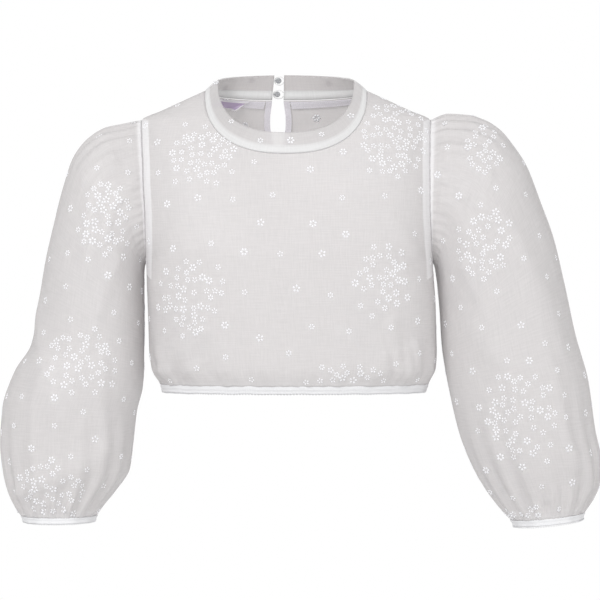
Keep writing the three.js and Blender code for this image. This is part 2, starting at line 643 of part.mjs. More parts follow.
// Slit facings and back neck facings
const slitFacingRows = listFrom(0, slitRowCount + 1);
const facings = [
  { name: 'left', start: slitColumn, way: -1 },
  { name: 'right', start: slitColumn + 1, way: 1 },
];
for (const { name, start, way } of facings) {
  const slitFacing = edgeStrip(backPanel, slitFacingRows, start, way, slitFacingSpan);
  addPiece(`slit_facing_${name}`, slitFacing, seamTape);
  const first = columnAt(backPanel, 0, start, way, neckFacingStart);
  const after = listFrom(Math.ceil(first), backColumns - Math.ceil(first));
  const before = listFrom(1, Math.floor(first));
  const columns = way > 0 ? [first, ...after] : [...before, first];
  const places = neckFacingSpan.map((distance) => columns.map((column) => {
    return { row: rowAt(backPanel, column, distance), column };
  }));
  addPiece(`neck_facing_${name}`, stripGeometry(backPanel, places), seamTape);
}

// Label, a bare satin tab on the right neck facing whose end towards the middle turns up
function labelGeometry() {
  const columnAtX = (x) => {
    const row = backPanel.grid[0];
    const after = row.findIndex((point) => point.x < x);
    return after - (x - row[after].x) / (row[after - 1].x - row[after].x);
  };
  const first = columnAtX(label.toX);
  const last = columnAtX(label.fromX);
  const whole = Math.ceil(first);
  const columns = [first, lerp(first, whole, 0.5), ...listFrom(whole, Math.ceil(last) - whole), last];
  const flatDepth = facingDepth + facingWall + seamGap;
  const places = label.span.map((distance) => columns.map((column) => {
    const curl = label.curl * softStep(first + 1, first, column) * softStep(4, 14, distance);
    return { row: rowAt(backPanel, column, distance), column, depth: flatDepth + curl };
  }));
  return stripGeometry(backPanel, places);
}
addPiece('label', labelGeometry(), labelSatin);

// Ball buttons with a shank on the right end of the neckband, and cord loops from its left end
function bandEndX(side, height) {
  const share = (height - neckPointHeight + neckBackDrop) / (bandTop.height - bandTop.backDrop);
  return slitEdge(side) * lerp(1, bandTop.halfWidth / neckHalfWidth, clamp(share, 0, 1));
}
function buttonGeometry() {
  const profile = [
    new THREE.Vector2(0, -buttonRadius - shankLength),
    new THREE.Vector2(shankRadius, -buttonRadius - shankLength),
    new THREE.Vector2(shankRadius, -buttonRadius * 0.97),
  ];
  for (const turn of [-48, -16, 16, 48, 72]) {
    const direction = new THREE.Vector2(Math.cos(degToRad(turn)), Math.sin(degToRad(turn)));
    profile.push(direction.multiplyScalar(buttonRadius));
  }
  profile.push(new THREE.Vector2(0, buttonRadius));
  return solid(new THREE.LatheGeometry(profile, buttonFacets).rotateZ(-Math.PI / 2));
}
function loopGeometry(root) {
  const reach = buttonRadius + shankLength * 0.6;
  const wide = buttonRadius + loopCord + 0.6;
  const upper = [
    new THREE.Vector3(root, 0, 2),
    new THREE.Vector3(root - 1.5, 0.8, wide * 0.85),
    new THREE.Vector3(0.5, 1.5, wide),
    new THREE.Vector3(-reach * 0.78, 1.9, wide * 0.66),
  ];
  const lower = upper.map(({ x, y, z }) => new THREE.Vector3(x, y, -z)).reverse();
  const route = new THREE.CatmullRomCurve3([...upper, new THREE.Vector3(-reach, 2.1, 0), ...lower]);
  const section = new THREE.Shape();
  section.absarc(0, 0, loopCord, 0, 2 * Math.PI);
  return solid(new THREE.ExtrudeGeometry(section, { steps: 20, curveSegments: 4, extrudePath: route }));
}
function solid(geometry) {
  geometry.deleteAttribute('normal');
  geometry.deleteAttribute('uv');
  return mergeVertices(geometry, 1e-4);
}
for (const [place, height] of Object.entries(buttonHeights)) {
  const x = bandEndX(-1, height) + seamGap + shankLength + buttonRadius;
  const root = bandEndX(1, height) - seamGap - x;
  addPiece(`button_${place}`, buttonGeometry(), crystal).position.set(x, closingY, height);
  addPiece(`loop_${place}`, loopGeometry(root), seamTape).position.set(x, closingY, height);
}

export default blouse;
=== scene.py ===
# A dirndl blouse in sheer white organza with embroidered daisies, in the form it has when worn.
# Tables are in millimetres and meshes in metres. The front faces -Y, and the wearer's left is at +X.
import math
import random

import bmesh
import bpy
from mathutils import Matrix, Vector


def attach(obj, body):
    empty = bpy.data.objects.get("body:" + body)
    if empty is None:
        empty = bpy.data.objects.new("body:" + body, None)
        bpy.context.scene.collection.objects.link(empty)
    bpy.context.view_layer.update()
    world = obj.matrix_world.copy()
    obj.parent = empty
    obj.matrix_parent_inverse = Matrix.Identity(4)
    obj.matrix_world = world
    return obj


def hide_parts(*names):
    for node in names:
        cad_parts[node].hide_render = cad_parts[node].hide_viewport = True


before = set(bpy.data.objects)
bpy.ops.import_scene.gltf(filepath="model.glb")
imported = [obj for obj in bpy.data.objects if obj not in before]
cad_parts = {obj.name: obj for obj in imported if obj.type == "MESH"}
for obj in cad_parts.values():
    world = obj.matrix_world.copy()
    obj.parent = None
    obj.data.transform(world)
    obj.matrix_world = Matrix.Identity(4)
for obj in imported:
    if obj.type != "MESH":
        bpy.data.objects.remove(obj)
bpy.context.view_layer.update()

# Bodice front
# One panel of silk organza, cut with a round neck and two armholes, and drawn in at the hem by an elastic.
# It is sewn to the back at the shoulders and sides. The cloth is a thin shell on the front solid's form.
METRES_PER_MM = 0.001
BODICE_KEYS = ("height", "centre", "half_width", "front", "front_corner", "back", "back_corner")
BODICE_LEVELS = [
    (6, 0, 93, 18, 2.5, 46, 2.2),
    (-6, 0, 119, 28, 2.5, 54, 2.3),
    (-17, 0, 142.5, 37, 2.5, 58, 2.4),
    (-28, 0, 165.6, 45, 2.6, 62, 2.5),
    (-45, 0, 168, 57, 2.8, 67, 2.6),
    (-71, 0.5, 170, 74, 3, 74, 2.8),
    (-100, 1, 170, 87, 3.2, 80, 3),
    (-150, 2.5, 167, 101, 3.1, 86, 3),
    (-190, 4, 164, 110, 2.8, 86, 2.7),
    (-240, 6.5, 165, 112, 2.6, 85, 2.5),
    (-287, 8, 165, 109, 2.4, 85, 2.4),
    (-312, 9, 163, 106, 2.3, 84, 2.3),
    (-331, 9.5, 154, 98, 2.2, 82, 2.2),
    (-341, 9, 151, 93, 2.2, 80, 2.2),
]
NECK_HALF_WIDTH = 93
NECK_POINT_HEIGHT = 6
NECK_FRONT_DROP = 77
NECK_BACK_DROP = 7
NECK_CORNER = 2.4
SHOULDER_TIP_HEIGHT = -28
UNDERARM_HEIGHT = -190
FRONT_SWING = 30
BACK_SWING = 42
ARMHOLE_CORNER = 0.8
SHOULDER_ROWS = 4
ARMHOLE_ROWS = 13
UNDERARM_ROW = SHOULDER_ROWS + ARMHOLE_ROWS
LOWER_LEVELS = [-190, -218, -246, -272, -296, -315, -330.7]
LAST_ROW = UNDERARM_ROW + len(LOWER_LEVELS) - 1
ROW_SAG = 26
SEAM_GAP = 0.3
DRAWN_THREAD_SPACING = 1.2

# Gathers over the elastic, as a count round the body and a height
HEM_GATHERS = 22
HEM_GATHER_HEIGHT = 2.4
HEM_PUCKERS = 61
HEM_PUCKER_HEIGHT = 0.55

# Folds of the panels as side, start x and height, end x and height, width and height of the ridge. Side is
# -1 on the front and 1 on the back.
BODICE_FOLDS = [
    (-1, -140, -318, -92, -270, 9, 2.2),
    (-1, -146, -296, -118, -248, 8, 1.8),
    (-1, 132, -318, 118, -262, 8, 2.0),
    (-1, 96, -322, 62, -272, 9, 1.6),
    (1, -118, -318, -84, -262, 9, 2.0),
    (1, 128, -318, 96, -270, 9, 2.2),
    (1, 40, -322, 26, -272, 9, 1.6),
    (1, -34, -320, -20, -276, 9, 1.4),
    (-1, -150, -330, -128, -286, 5, 1.3),
    (-1, -128, -330, -70, -288, 5, 1.0),
    (-1, 152, -328, 146, -284, 4.5, 1.6),
    (-1, 142, -330, 136, -290, 4, 1.5),
    (-1, 130, -330, 124, -294, 4, 1.4),
    (-1, 118, -330, 110, -296, 4.5, 1.2),
    (-1, -150, -215, -112, -178, 9, 1.6),
    (-1, 150, -222, 108, -176, 9, 1.6),
    (-1, 146, -180, 116, -140, 8, 1.2),
    (-1, -144, -176, -110, -138, 8, 1.2),
    (1, -140, -230, -96, -180, 9, 1.6),
    (1, 142, -226, 100, -176, 9, 1.6),
    (1, 80, -330, 70, -288, 5, 1.3),
    (1, -80, -330, -66, -290, 5, 1.2),
    (1, 8, -330, 4, -296, 5, 1.2),
]


def lerp(start, end, share):
    return start + (end - start) * share


def clamp(value, low, high):
    return max(low, min(high, value))


def soft_step(start, end, value):
    share = clamp((value - start) / (end - start), 0, 1)
    return share * share * (3 - 2 * share)


def read_rows(keys, rows):
    """Reads a table between its rows on a curve that never overshoots them."""
    places = [row[0] for row in rows]
    steps = [after - before for before, after in zip(places, places[1:])]
    slopes = []
    for column in range(1, len(keys)):
        chords = [(rows[i + 1][column] - rows[i][column]) / steps[i] for i in range(len(steps))]
        line = []
        for i in range(len(rows)):
            before = chords[max(i - 1, 0)]
            after = chords[min(i, len(chords) - 1)]
            line.append(0 if before * after <= 0 else 2 * before * after / (before + after))
        slopes.append(line)

    def read(value):
        i = 0
        while i < len(steps) - 1 and (value - places[i + 1]) * steps[i] > 0:
            i += 1
        share = clamp((value - places[i]) / steps[i], 0, 1)
        result = []
        for column in range(1, len(keys)):
            rise = rows[i + 1][column] - rows[i][column]
            start_slope = slopes[column - 1][i] * steps[i]
            end_slope = slopes[column - 1][i + 1] * steps[i]
            bend = (start_slope - rise) * (1 - share) + (rise - end_slope) * share
            result.append(rows[i][column] + rise * share + share * (1 - share) * bend)
        return result

    return read


bodice_at = read_rows(BODICE_KEYS, BODICE_LEVELS)


def bodice_point(angle, height):
    """The angle is 0 at the centre front, 90 at the left side and 180 at the centre back."""
    centre, half_width, front, front_corner, back, back_corner = bodice_at(height)
    aside = math.sin(math.radians(angle))
    ahead = math.cos(math.radians(angle))
    corner = front_corner if ahead >= 0 else back_corner
    depth = front if ahead >= 0 else back
    reach = (abs(aside) ** corner + abs(ahead) ** corner) ** (1 / corner)
    return Vector((centre + half_width * aside / reach, -depth * ahead / reach, height))


def bodice_angle(x, height, is_front):
    centre, half_width, front, front_corner, back, back_corner = bodice_at(height)
    corner = front_corner if is_front else back_corner
    aside = clamp((x - centre) / half_width, -1, 1)
    angle = math.degrees(math.atan2(aside, (1 - abs(aside) ** corner) ** (1 / corner)))
    return angle if is_front else 180 - angle


def neck_seam(turn):
    aside = math.sin(math.radians(turn))
    drop = NECK_FRONT_DROP if math.cos(math.radians(turn)) >= 0 else NECK_BACK_DROP
    fall = max(1 - abs(aside) ** NECK_CORNER, 0) ** (1 / NECK_CORNER)
    return NECK_HALF_WIDTH * aside, NECK_POINT_HEIGHT - drop * fall


def ridge(along_u, along_v, over_u, over_v, width, height):
    """Height of a soft ridge along a line, at a place measured from the line's start."""
    share = clamp((over_u * along_u + over_v * along_v) / (along_u * along_u + along_v * along_v), 0, 1)
    away = math.hypot(over_u - share * along_u, over_v - share * along_v) / width
    return height * math.exp(-away * away) if away < 3 else 0


def bodice_relief(angle, height):
    """Hem gathers, fine puckers over the elastic, and folds, as a height above the plain form."""
    point = bodice_point(angle, height)
    side = -1 if math.cos(math.radians(angle)) >= 0 else 1
    side_share = abs(math.sin(math.radians(angle)))
    rise = soft_step(-262, -315, height)
    fall = lerp(1, 0.35, soft_step(-315, -331, height))
    wave = math.sin(math.radians(angle) * HEM_GATHERS + math.sin(math.radians(angle * 3)))
    relief = HEM_GATHER_HEIGHT * lerp(0.3, 1, side_share ** 2) * rise * fall * wave
    pucker = math.sin(math.radians(angle) * HEM_PUCKERS + 1.7 * math.sin(math.radians(angle * 7)))
    uneven = 0.5 + 0.5 * math.sin(math.radians(angle * 5 + 40)) ** 2
    relief += HEM_PUCKER_HEIGHT * soft_step(-306, -329, height) * pucker * uneven
    for fold_side, from_x, from_z, to_x, to_z, width, rise_of_fold in BODICE_FOLDS:
        if fold_side == side:
            over_x = point.x - from_x
            over_z = height - from_z
            relief += ridge(to_x - from_x, to_z - from_z, over_x, over_z, width, rise_of_fold) * fall
    return relief * (1 - side_share ** 24)


def relief_point(angle, height, lift=0.0):
    """A point of the draped surface, or of one that lies outside it by the lift."""
    step = 0.5
    across = bodice_point(angle + step, height) - bodice_point(angle - step, height)
    up = bodice_point(angle, height + step) - bodice_point(angle, height - step)
    outward = across.cross(up).normalized()
    return bodice_point(angle, height) + outward * (bodice_relief(angle, height) + lift)


def side_height(row):
    """Height of a row's end, which runs down the shoulder seam, the armhole and the side seam."""
    if row <= SHOULDER_ROWS:
        return lerp(NECK_POINT_HEIGHT, SHOULDER_TIP_HEIGHT, row / SHOULDER_ROWS)
    if row <= UNDERARM_ROW:
        around = math.pi * (row - SHOULDER_ROWS) / ARMHOLE_ROWS
        return UNDERARM_HEIGHT + (SHOULDER_TIP_HEIGHT - UNDERARM_HEIGHT) / 2 * (1 + math.cos(around))
    lower = min(row - UNDERARM_ROW, len(LOWER_LEVELS) - 1.0001)
    return lerp(LOWER_LEVELS[int(lower)], LOWER_LEVELS[int(lower) + 1], lower - int(lower))


def side_reach(height, is_front):
    level = (height - UNDERARM_HEIGHT) / ((SHOULDER_TIP_HEIGHT - UNDERARM_HEIGHT) / 2) - 1
    if abs(level) >= 1:
        return 90
    swing = math.sqrt(1 - level * level) ** ARMHOLE_CORNER
    return 90 - (FRONT_SWING if is_front else BACK_SWING) * swing


def panel_place(is_front, row, across):
    """Angle and height of a place on a panel. Across runs from -1 to 1, and rows from neck to hem."""
    hem = LOWER_LEVELS[-1]
    end = side_height(row)
    share = min(row / UNDERARM_ROW, 1)
    even = lerp(SHOULDER_TIP_HEIGHT, UNDERARM_HEIGHT - ROW_SAG, max(row - SHOULDER_ROWS, 0) / ARMHOLE_ROWS)
    lower_sag = ROW_SAG * (hem - end) / (hem - UNDERARM_HEIGHT)
    upper_sag = 0 if row <= SHOULDER_ROWS else end - even
    sag = upper_sag if row < UNDERARM_ROW else lower_sag
    narrow = side_reach(end, is_front) / 90
    spread = lerp(2.4, 1.3 if is_front else 0.6, soft_step(0.2, 0.55, share))
    middle = 0 if is_front else 180
    turn = 90 * math.sin(math.pi / 2 * across)
    neck_x, neck_height = neck_seam(turn if is_front else 180 + turn)
    neck_angle = bodice_angle(neck_x, neck_height, is_front) - middle
    away = 1 - lerp(soft_step(0, 1, abs(across)), across ** 4, share * share)
    seam_drop = (neck_height - NECK_POINT_HEIGHT) * (1 - share)
    angle = middle + lerp(neck_angle, 90 * across, share) * lerp(1, narrow, abs(across) ** spread)
    return angle, end + seam_drop - sag * away


def linear(code):
    """An sRGB hex colour as the linear values that a shader takes."""
    values = [int(code[i:i + 2], 16) / 255 for i in (1, 3, 5)]
    return [v / 12.92 if v <= 0.04045 else ((v + 0.055) / 1.055) ** 2.4 for v in values] + [1.0]


def add_node(material, kind, settings, links):
    """Adds one node to a material or the world. Settings are the node's own or its inputs', and links give
    the socket for an input. An input goes by its name or its number."""
    node = material.node_tree.nodes.new(kind)
    for name, value in settings.items():
        if isinstance(name, int) or name in node.inputs:
            node.inputs[name].default_value = value
        else:
            setattr(node, name, value)
    for name, socket in links.items():
        material.node_tree.links.new(node.inputs[name], socket)
    return node


def new_material(name, settings):
    """A material whose shader has these settings."""
    material = bpy.data.materials.new(name)
    material.use_nodes = True
    for setting, value in settings.items():
        material.node_tree.nodes["Principled BSDF"].inputs[setting].default_value = value
    return material


def feed(material, name, socket):
    """Links a socket to an input of the material's shader."""
    material.node_tree.links.new(material.node_tree.nodes["Principled BSDF"].inputs[name], socket)


def thread_grain(material, place, spacing_mm):
    """Uneven warp and weft: two noises, each drawn out along one direction of the cloth."""
    fine = 1 / (spacing_mm * METRES_PER_MM)
    drawn_out = fine / 16
    grains = []
    for scale in ((fine, drawn_out, 1), (drawn_out, fine, 1)):
        stretched = add_node(material, "ShaderNodeMapping", {"Scale": scale}, {"Vector": place})
        grain = add_node(material, "ShaderNodeTexNoise", {"Scale": 1.0, "Detail": 1.0},
                         {"Vector": stretched.outputs["Vector"]})
        grains.append(grain.outputs["Fac"])
    both = add_node(material, "ShaderNodeMath", {"operation": "ADD"}, dict(enumerate(grains)))
    return both.outputs[0]


def woven_organza(name, colour, backed_colour_painted_lighter, opacity, backed_opacity):
    """Plain weave of hard-twisted silk: crisp and sheer, with a faint slubby grain and a soft sheen.
    Where a seam's allowances back the cloth it is denser, and its whiter colour there is painted light.
    Its threads are about 0.2 mm apart, and are drawn 1.2 mm apart so that the grain can show."""
    material = new_material(name, {"Roughness": 0.5, "Specular IOR Level": 0.3, "Sheen Weight": 0.12,
                                   "Sheen Roughness": 0.4})
    backed_painted_lighter = add_node(material, "ShaderNodeAttribute", {"attribute_name": "backed_painted_lighter"}, {}).outputs["Fac"]
    shade = add_node(material, "ShaderNodeValToRGB", {}, {"Fac": backed_painted_lighter})
    shade.color_ramp.elements[0].color = linear(colour)
    shade.color_ramp.elements[1].color = linear(backed_colour_painted_lighter)
    feed(material, "Base Color", shade.outputs["Color"])
    place = add_node(material, "ShaderNodeTexCoord", {}, {}).outputs["UV"]
    grain = thread_grain(material, place, DRAWN_THREAD_SPACING)
    cover = add_node(material, "ShaderNodeMapRange",
                     {"To Min": opacity, "To Max": backed_opacity}, {"Value": backed_painted_lighter})
    uneven = add_node(material, "ShaderNodeMapRange",
                      {"From Min": 0.7, "From Max": 1.3, "To Min": -0.03, "To Max": 0.03}, {"Value": grain})
    opaque = add_node(material, "ShaderNodeMath", {"operation": "ADD"},
                      {0: cover.outputs["Result"], 1: uneven.outputs["Result"]})
    feed(material, "Alpha", opaque.outputs[0])
    bump = add_node(material, "ShaderNodeBump", {"Strength": 0.12, "Distance": 0.1 * METRES_PER_MM},
                    {"Height": grain})
    feed(material, "Normal", bump.outputs["Normal"])
    return material


def new_piece(name, mesh, materials):
    """Turns a bmesh into a smooth piece of the blouse."""
    for face in mesh.faces:
        face.smooth = True
    data = bpy.data.meshes.new(name)
    mesh.to_mesh(data)
    mesh.free()
    for material in materials:
        data.materials.append(material)
    piece = bpy.data.objects.new(name, data)
    bpy.context.scene.collection.objects.link(piece)
    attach(piece, "root")
    return piece


def cloth_shell(name, rows, columns, point_at, uv_at, materials, thickness, is_tube=False, is_open=None,
                backed_painted_lighter_at=None):
    """A grid shaped into cloth. Rows and columns list the places that the point function takes.
    A second material is for the inner side; it is a darker copy of the first, and its darkness is painted
    shade."""
    mesh = bmesh.new()
    bmesh.ops.create_grid(mesh, x_segments=len(columns) - 1, y_segments=len(rows) - 1, size=1)
    uv_layer = mesh.loops.layers.uv.new("cloth")
    backed_painted_lighter_layer = mesh.verts.layers.float.new("backed_painted_lighter")
    places = {}
    for vert in mesh.verts:
        column = columns[round((vert.co.x + 1) / 2 * (len(columns) - 1))]
        row = rows[round((vert.co.y + 1) / 2 * (len(rows) - 1))]
        places[vert] = (row, column)
    for vert, place in places.items():
        vert[backed_painted_lighter_layer] = backed_painted_lighter_at(*place) if backed_painted_lighter_at else 0
    for face in mesh.faces:
        for loop in face.loops:
            u, v = uv_at(*places[loop.vert])
            loop[uv_layer].uv = (u * METRES_PER_MM, v * METRES_PER_MM)
    if is_open:
        holes = []
        for face in mesh.faces:
            row = sum(places[vert][0] for vert in face.verts) / 4
            column = sum(places[vert][1] for vert in face.verts) / 4
            if is_open(row, column):
                holes.append(face)
        bmesh.ops.delete(mesh, geom=holes, context="FACES")
    for vert, (row, column) in places.items():
        if vert.is_valid:
            vert.co = point_at(row, column) * METRES_PER_MM
    if is_tube:
        bmesh.ops.remove_doubles(mesh, verts=mesh.verts[:], dist=1e-6)
    bmesh.ops.reverse_faces(mesh, faces=mesh.faces[:])
    piece = new_piece(name, mesh, materials)
    wall = piece.modifiers.new("thickness", "SOLIDIFY")
    wall.thickness = thickness * METRES_PER_MM
    wall.offset = -1
    wall.use_even_offset = False
    # The inner faces take the last material, which is the darker copy that carries painted shade
    wall.material_offset = len(materials) - 1
    return piece


def between(marks, parts):
    """Places between each pair of marks, each step in a number of equal parts."""
    places = [marks[0]]
    for i, count in enumerate(parts):
        places += [lerp(marks[i], marks[i + 1], (k + 1) / count) for k in range(count)]
    return places


# The rows' ends lie close together below the shoulder tip, so the first armhole row has only two parts
ROW_PARTS = [4] * SHOULDER_ROWS + [2] + [6] * (ARMHOLE_ROWS - 1) + [11, 11, 10, 9, 8, 7]
PANEL_ROWS = between(list(range(LAST_ROW + 1)), ROW_PARTS)
FRONT_COLUMNS = [i / 100 - 1 for i in range(201)]
ORGANZA_THICKNESS = 0.35
ALLOWANCE_WIDTH = 9
BODICE_MM_PER_DEGREE = 2.4
# The inner-side material is a darker copy of the cloth: that darkness is painted shade for the shaded inside
# of the blouse
organza = [
    woven_organza("white silk organza, right side", "#f1efef", "#fbfafb", 0.52, 0.74),
    woven_organza("white silk organza, inner side with painted shade", "#cec8c8", "#eceaeb", 0.52, 0.6),
]


def front_point(row, across):
    angle, height = panel_place(True, row, across)
    return relief_point(angle, height) + Vector((0, -SEAM_GAP / 2, 0))


def front_uv(row, across):
    angle, height = panel_place(True, row, across)
    return angle * BODICE_MM_PER_DEGREE, height


def near_edge(point_at, row, column, edge_column):
    """1 over the armhole seam's allowances, within their width of the panel's edge, and 0 elsewhere. There
    the cloth is denser and painted whiter, as painted light over the shaded side.
    """
    if row < SHOULDER_ROWS or row > UNDERARM_ROW:
        return 0
    away = abs(point_at(row, column).x - point_at(row, edge_column).x)
    return 1 - soft_step(ALLOWANCE_WIDTH - 1, ALLOWANCE_WIDTH + 0.5, away)


def front_backed_painted_lighter(row, across):
    return near_edge(front_point, row, across, math.copysign(1, across)) if abs(across) > 0.6 else 0


front = cloth_shell("bodice_front", PANEL_ROWS, FRONT_COLUMNS, front_point, front_uv, organza,
                    ORGANZA_THICKNESS, backed_painted_lighter_at=front_backed_painted_lighter)
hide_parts("front")

# Bodice back
# One panel of the same organza, sewn to the front. A keyhole slit runs down it from the closing of the
# neckband, and the slit's edges are faced.
SLIT_CENTRE = -9.9
SLIT_KEYS = ("height", "half_width")
SLIT_LEVELS = [(6, 6.5), (0, 6.7), (-22, 9.2), (-38, 8.4), (-50, 5.4), (-61, 1.2), (-190, 1.2)]
SLIT_ROWS = 6
BACK_STEPS = 33
SLIT_COLUMN = 16
SLIT_SPREAD = 7
slit_at = read_rows(SLIT_KEYS, SLIT_LEVELS)


def back_place(row, column):
    """Angle and height on the back. Columns run from the left side, and follow the slit's edge near it."""
    angle, height = panel_place(False, row, 2 * column / BACK_STEPS - 1)
    shifts = []
    for edge, side in ((SLIT_COLUMN, 1), (SLIT_COLUMN + 1, -1)):
        edge_angle, edge_height = panel_place(False, row, 2 * edge / BACK_STEPS - 1)
        edge_x = SLIT_CENTRE + side * slit_at(edge_height)[0]
        shifts.append(edge_x - bodice_point(edge_angle, edge_height).x)
    if column <= SLIT_COLUMN:
        away, shift = SLIT_COLUMN - column, shifts[0]
    elif column >= SLIT_COLUMN + 1:
        away, shift = column - SLIT_COLUMN - 1, shifts[1]
    else:
        away, shift = 0, lerp(shifts[0], shifts[1], column - SLIT_COLUMN)
    near = max(1 - away / SLIT_SPREAD, 0) ** 1.5
    if near <= 0:
        return angle, height
    return bodice_angle(bodice_point(angle, height).x + near * shift, height, False), height


def back_point(row, column):
    return relief_point(*back_place(row, column)) + Vector((0, SEAM_GAP / 2, 0))


def back_uv(row, column):
    angle, height = panel_place(False, row, 2 * column / BACK_STEPS - 1)
    return angle * BODICE_MM_PER_DEGREE, height


def back_backed_painted_lighter(row, column):
    if 6 < column < BACK_STEPS - 6:
        return 0
    return near_edge(back_point, row, column, 0 if column <= 6 else BACK_STEPS)


COLUMN_PARTS = [5] * SLIT_COLUMN + [2] + [5] * (BACK_STEPS - SLIT_COLUMN - 1)
BACK_COLUMNS = between(list(range(BACK_STEPS + 1)), COLUMN_PARTS)
back = cloth_shell("bodice_back", PANEL_ROWS, BACK_COLUMNS, back_point, back_uv, organza, ORGANZA_THICKNESS,
                   is_open=lambda row, column: row < SLIT_ROWS and SLIT_COLUMN < column < SLIT_COLUMN + 1,
                   backed_painted_lighter_at=back_backed_painted_lighter)
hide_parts("back")

# Puff sleeves
# Each is one piece of the same organza, closed by a seam under the arm. Its head is gathered into the
# armhole and its foot into the cuff, so it stands out between them in long soft folds.
SLEEVE_KEYS = ("ring", "outer_x", "outer_z", "inner_x", "inner_z", "depth", "middle")
RIGHT_SLEEVE = [
    (0, -165.6, -28, -160, -190, 54, 6),
    (1, -185, -33, -162, -193, 60, 5),
    (2, -206, -37, -163, -197, 65, 4),
    (3, -226, -48, -163.2, -203, 69, 3),
    (4, -244, -70, -163.2, -210, 72, 2),
    (5, -256, -105, -163, -222, 74, 1),
    (6, -266, -145, -162.8, -240, 75, 0),
    (7, -277, -195, -162.6, -262, 75, -1),
    (8, -285, -250, -163, -290, 74, -2),
    (9, -292, -285, -163, -312, 74, -3),
    (10, -311, -316, -164.5, -335, 75, -4),
    (11, -325, -358, -171, -362, 74, -5),
    (12, -327, -395, -175, -398, 70, -6),
    (13, -323, -430, -179, -428, 63, -7),
    (14, -316, -455, -195, -453, 54, -7),
    (15, -308, -471, -209, -470, 46, -8),
    (16, -303, -481, -216, -480.5, 41, -8),
]
LEFT_SLEEVE = [
    (0, 165.6, -28, 168, -190, 54, 6),
    (1, 187, -22, 170, -193, 60, 5),
    (2, 209, -23, 171.4, -197, 65, 4),
    (3, 228, -28, 172.2, -203, 69, 3),
    (4, 246, -39, 173, -209, 72, 2),
    (5, 262, -58, 174, -217, 74, 1),
    (6, 276, -80, 175, -228, 75, 0),
    (7, 293, -124, 176.5, -246, 75, -1),
    (8, 307, -163, 177.5, -265, 74, -2),
    (9, 320, -218, 179, -288, 74, -3),
    (10, 332, -274, 183, -315, 75, -4),
    (11, 347, -329, 189, -346, 74, -5),
    (12, 354, -384, 199, -388, 70, -6),
    (13, 360, -418, 214, -426, 63, -7),
    (14, 358, -443, 231, -455, 54, -7),
    (15, 350, -462, 246, -474, 46, -8),
    (16, 342, -477, 257, -486, 41, -8),
]
ARMHOLE_BLEND = [(0, 1), (1, 0.62), (2, 0.3), (3, 0.1), (4, 0), (16, 0)]
CAP_GATHERS = [(0, 0.2), (1, 1.7), (2, 1.5), (3, 1.0), (4, 0.5), (5, 0), (16, 0)]
CUFF_GATHERS = [(0, 0), (11, 0), (12, 0.8), (13, 1.5), (14, 2.0), (15, 1.9), (16, 0.6)]
FINE_GATHERS = [(0, 0.25), (0.7, 0.7), (2, 0.3), (3.5, 0), (13, 0), (15, 0.6), (16, 0.3)]
LAST_RING = 16

# Folds as start ring and angle, end ring and angle, width and height
RIGHT_SLEEVE_FOLDS = [
    (2, 60, 6, 84, 13, 2.6),
    (8, 20, 11, 88, 13, 3.0),
    (12, 150, 14, 40, 13, 3.0),
    (3, -60, 8, -84, 13, 2.8),
    (9, -40, 13, -100, 14, 2.8),
    (0.6, 84, 4.5, 100, 7, 1.8),
    (0.6, 40, 4.0, 50, 7, 1.6),
    (5, 118, 8, 96, 8, 1.8),
    (9, 110, 12, 132, 8, 1.8),
    (10, 60, 14.5, 74, 8, 1.7),
    (0.6, -70, 4.0, -82, 7, 1.8),
    (5, -110, 9, -96, 8, 1.8),
]
LEFT_SLEEVE_FOLDS = [
    (1, 100, 5, 112, 12, 2.4),
    (5, 84, 10, 48, 13, 3.2),
    (9, 120, 14, 34, 14, 3.2),
    (3, -70, 9, -50, 13, 3.0),
    (9, -120, 13, -60, 14, 2.8),
    (0.6, 60, 4.5, 66, 7, 1.8),
    (0.6, 84, 3.5, 92, 6, 1.7),
    (6, 124, 9, 106, 8, 1.9),
    (7.5, 70, 13, 58, 9, 2.0),
    (11, 100, 14.5, 92, 8, 1.8),
    (0.6, -60, 4.2, -74, 7, 1.8),
    (6, -110, 10, -92, 8, 1.8),
]
MM_PER_RING = 28
MM_PER_DEGREE = 1.2


def read_line(marks, value):
    for (start, low), (end, high) in zip(marks, marks[1:]):
        if value <= end:
            return lerp(low, high, clamp((value - start) / (end - start), 0, 1))
    return marks[-1][1]


def ring_point(row, around):
    outer_x, outer_z, inner_x, inner_z, depth, middle = row
    share = (1 + math.cos(math.radians(around))) / 2
    return Vector((lerp(inner_x, outer_x, share), middle - depth * math.sin(math.radians(around)),
                   lerp(inner_z, outer_z, share)))


def armhole_seam_point(side, around):
    """A point of the armhole, from the shoulder tip at 0 over the front at 90 to the underarm at 180."""
    is_front = around <= 180
    row = SHOULDER_ROWS + ARMHOLE_ROWS * (around if is_front else 360 - around) / 180
    if is_front:
        return front_point(row, side)
    return back_point(row, 0 if side > 0 else BACK_STEPS)


def sleeve_relief(ring, around, folds):
    signed = around - 360 if around > 180 else around
    cap_share = max(1 - (abs(signed) / 78) ** 4, 0)
    cap = read_line(CAP_GATHERS, ring) * cap_share * math.cos(math.radians(around * 26))
    swell = 1 + 0.4 * math.sin(math.radians(around * 3 + 50))
    cuff = read_line(CUFF_GATHERS, ring) * swell * math.cos(math.radians(around * 17))
    from_body = soft_step(178, 120, abs(signed))
    relief = cap + cuff * lerp(0.4, 1, from_body)
    fine = math.sin(math.radians(around * 47 + 60 * math.sin(math.radians(around * 4))))
    relief += read_line(FINE_GATHERS, ring) * fine * lerp(0.3, 1, from_body)
    for from_ring, from_angle, to_ring, to_angle, width, height in folds:
        along_ring = (to_ring - from_ring) * MM_PER_RING
        along_turn = (to_angle - from_angle) * MM_PER_DEGREE
        over_ring = (ring - from_ring) * MM_PER_RING
        over_turn = (signed - from_angle) * MM_PER_DEGREE
        fold = ridge(along_ring, along_turn, over_ring, over_turn, width, height)
        relief += fold * from_body * min(ring, 1)
    return relief


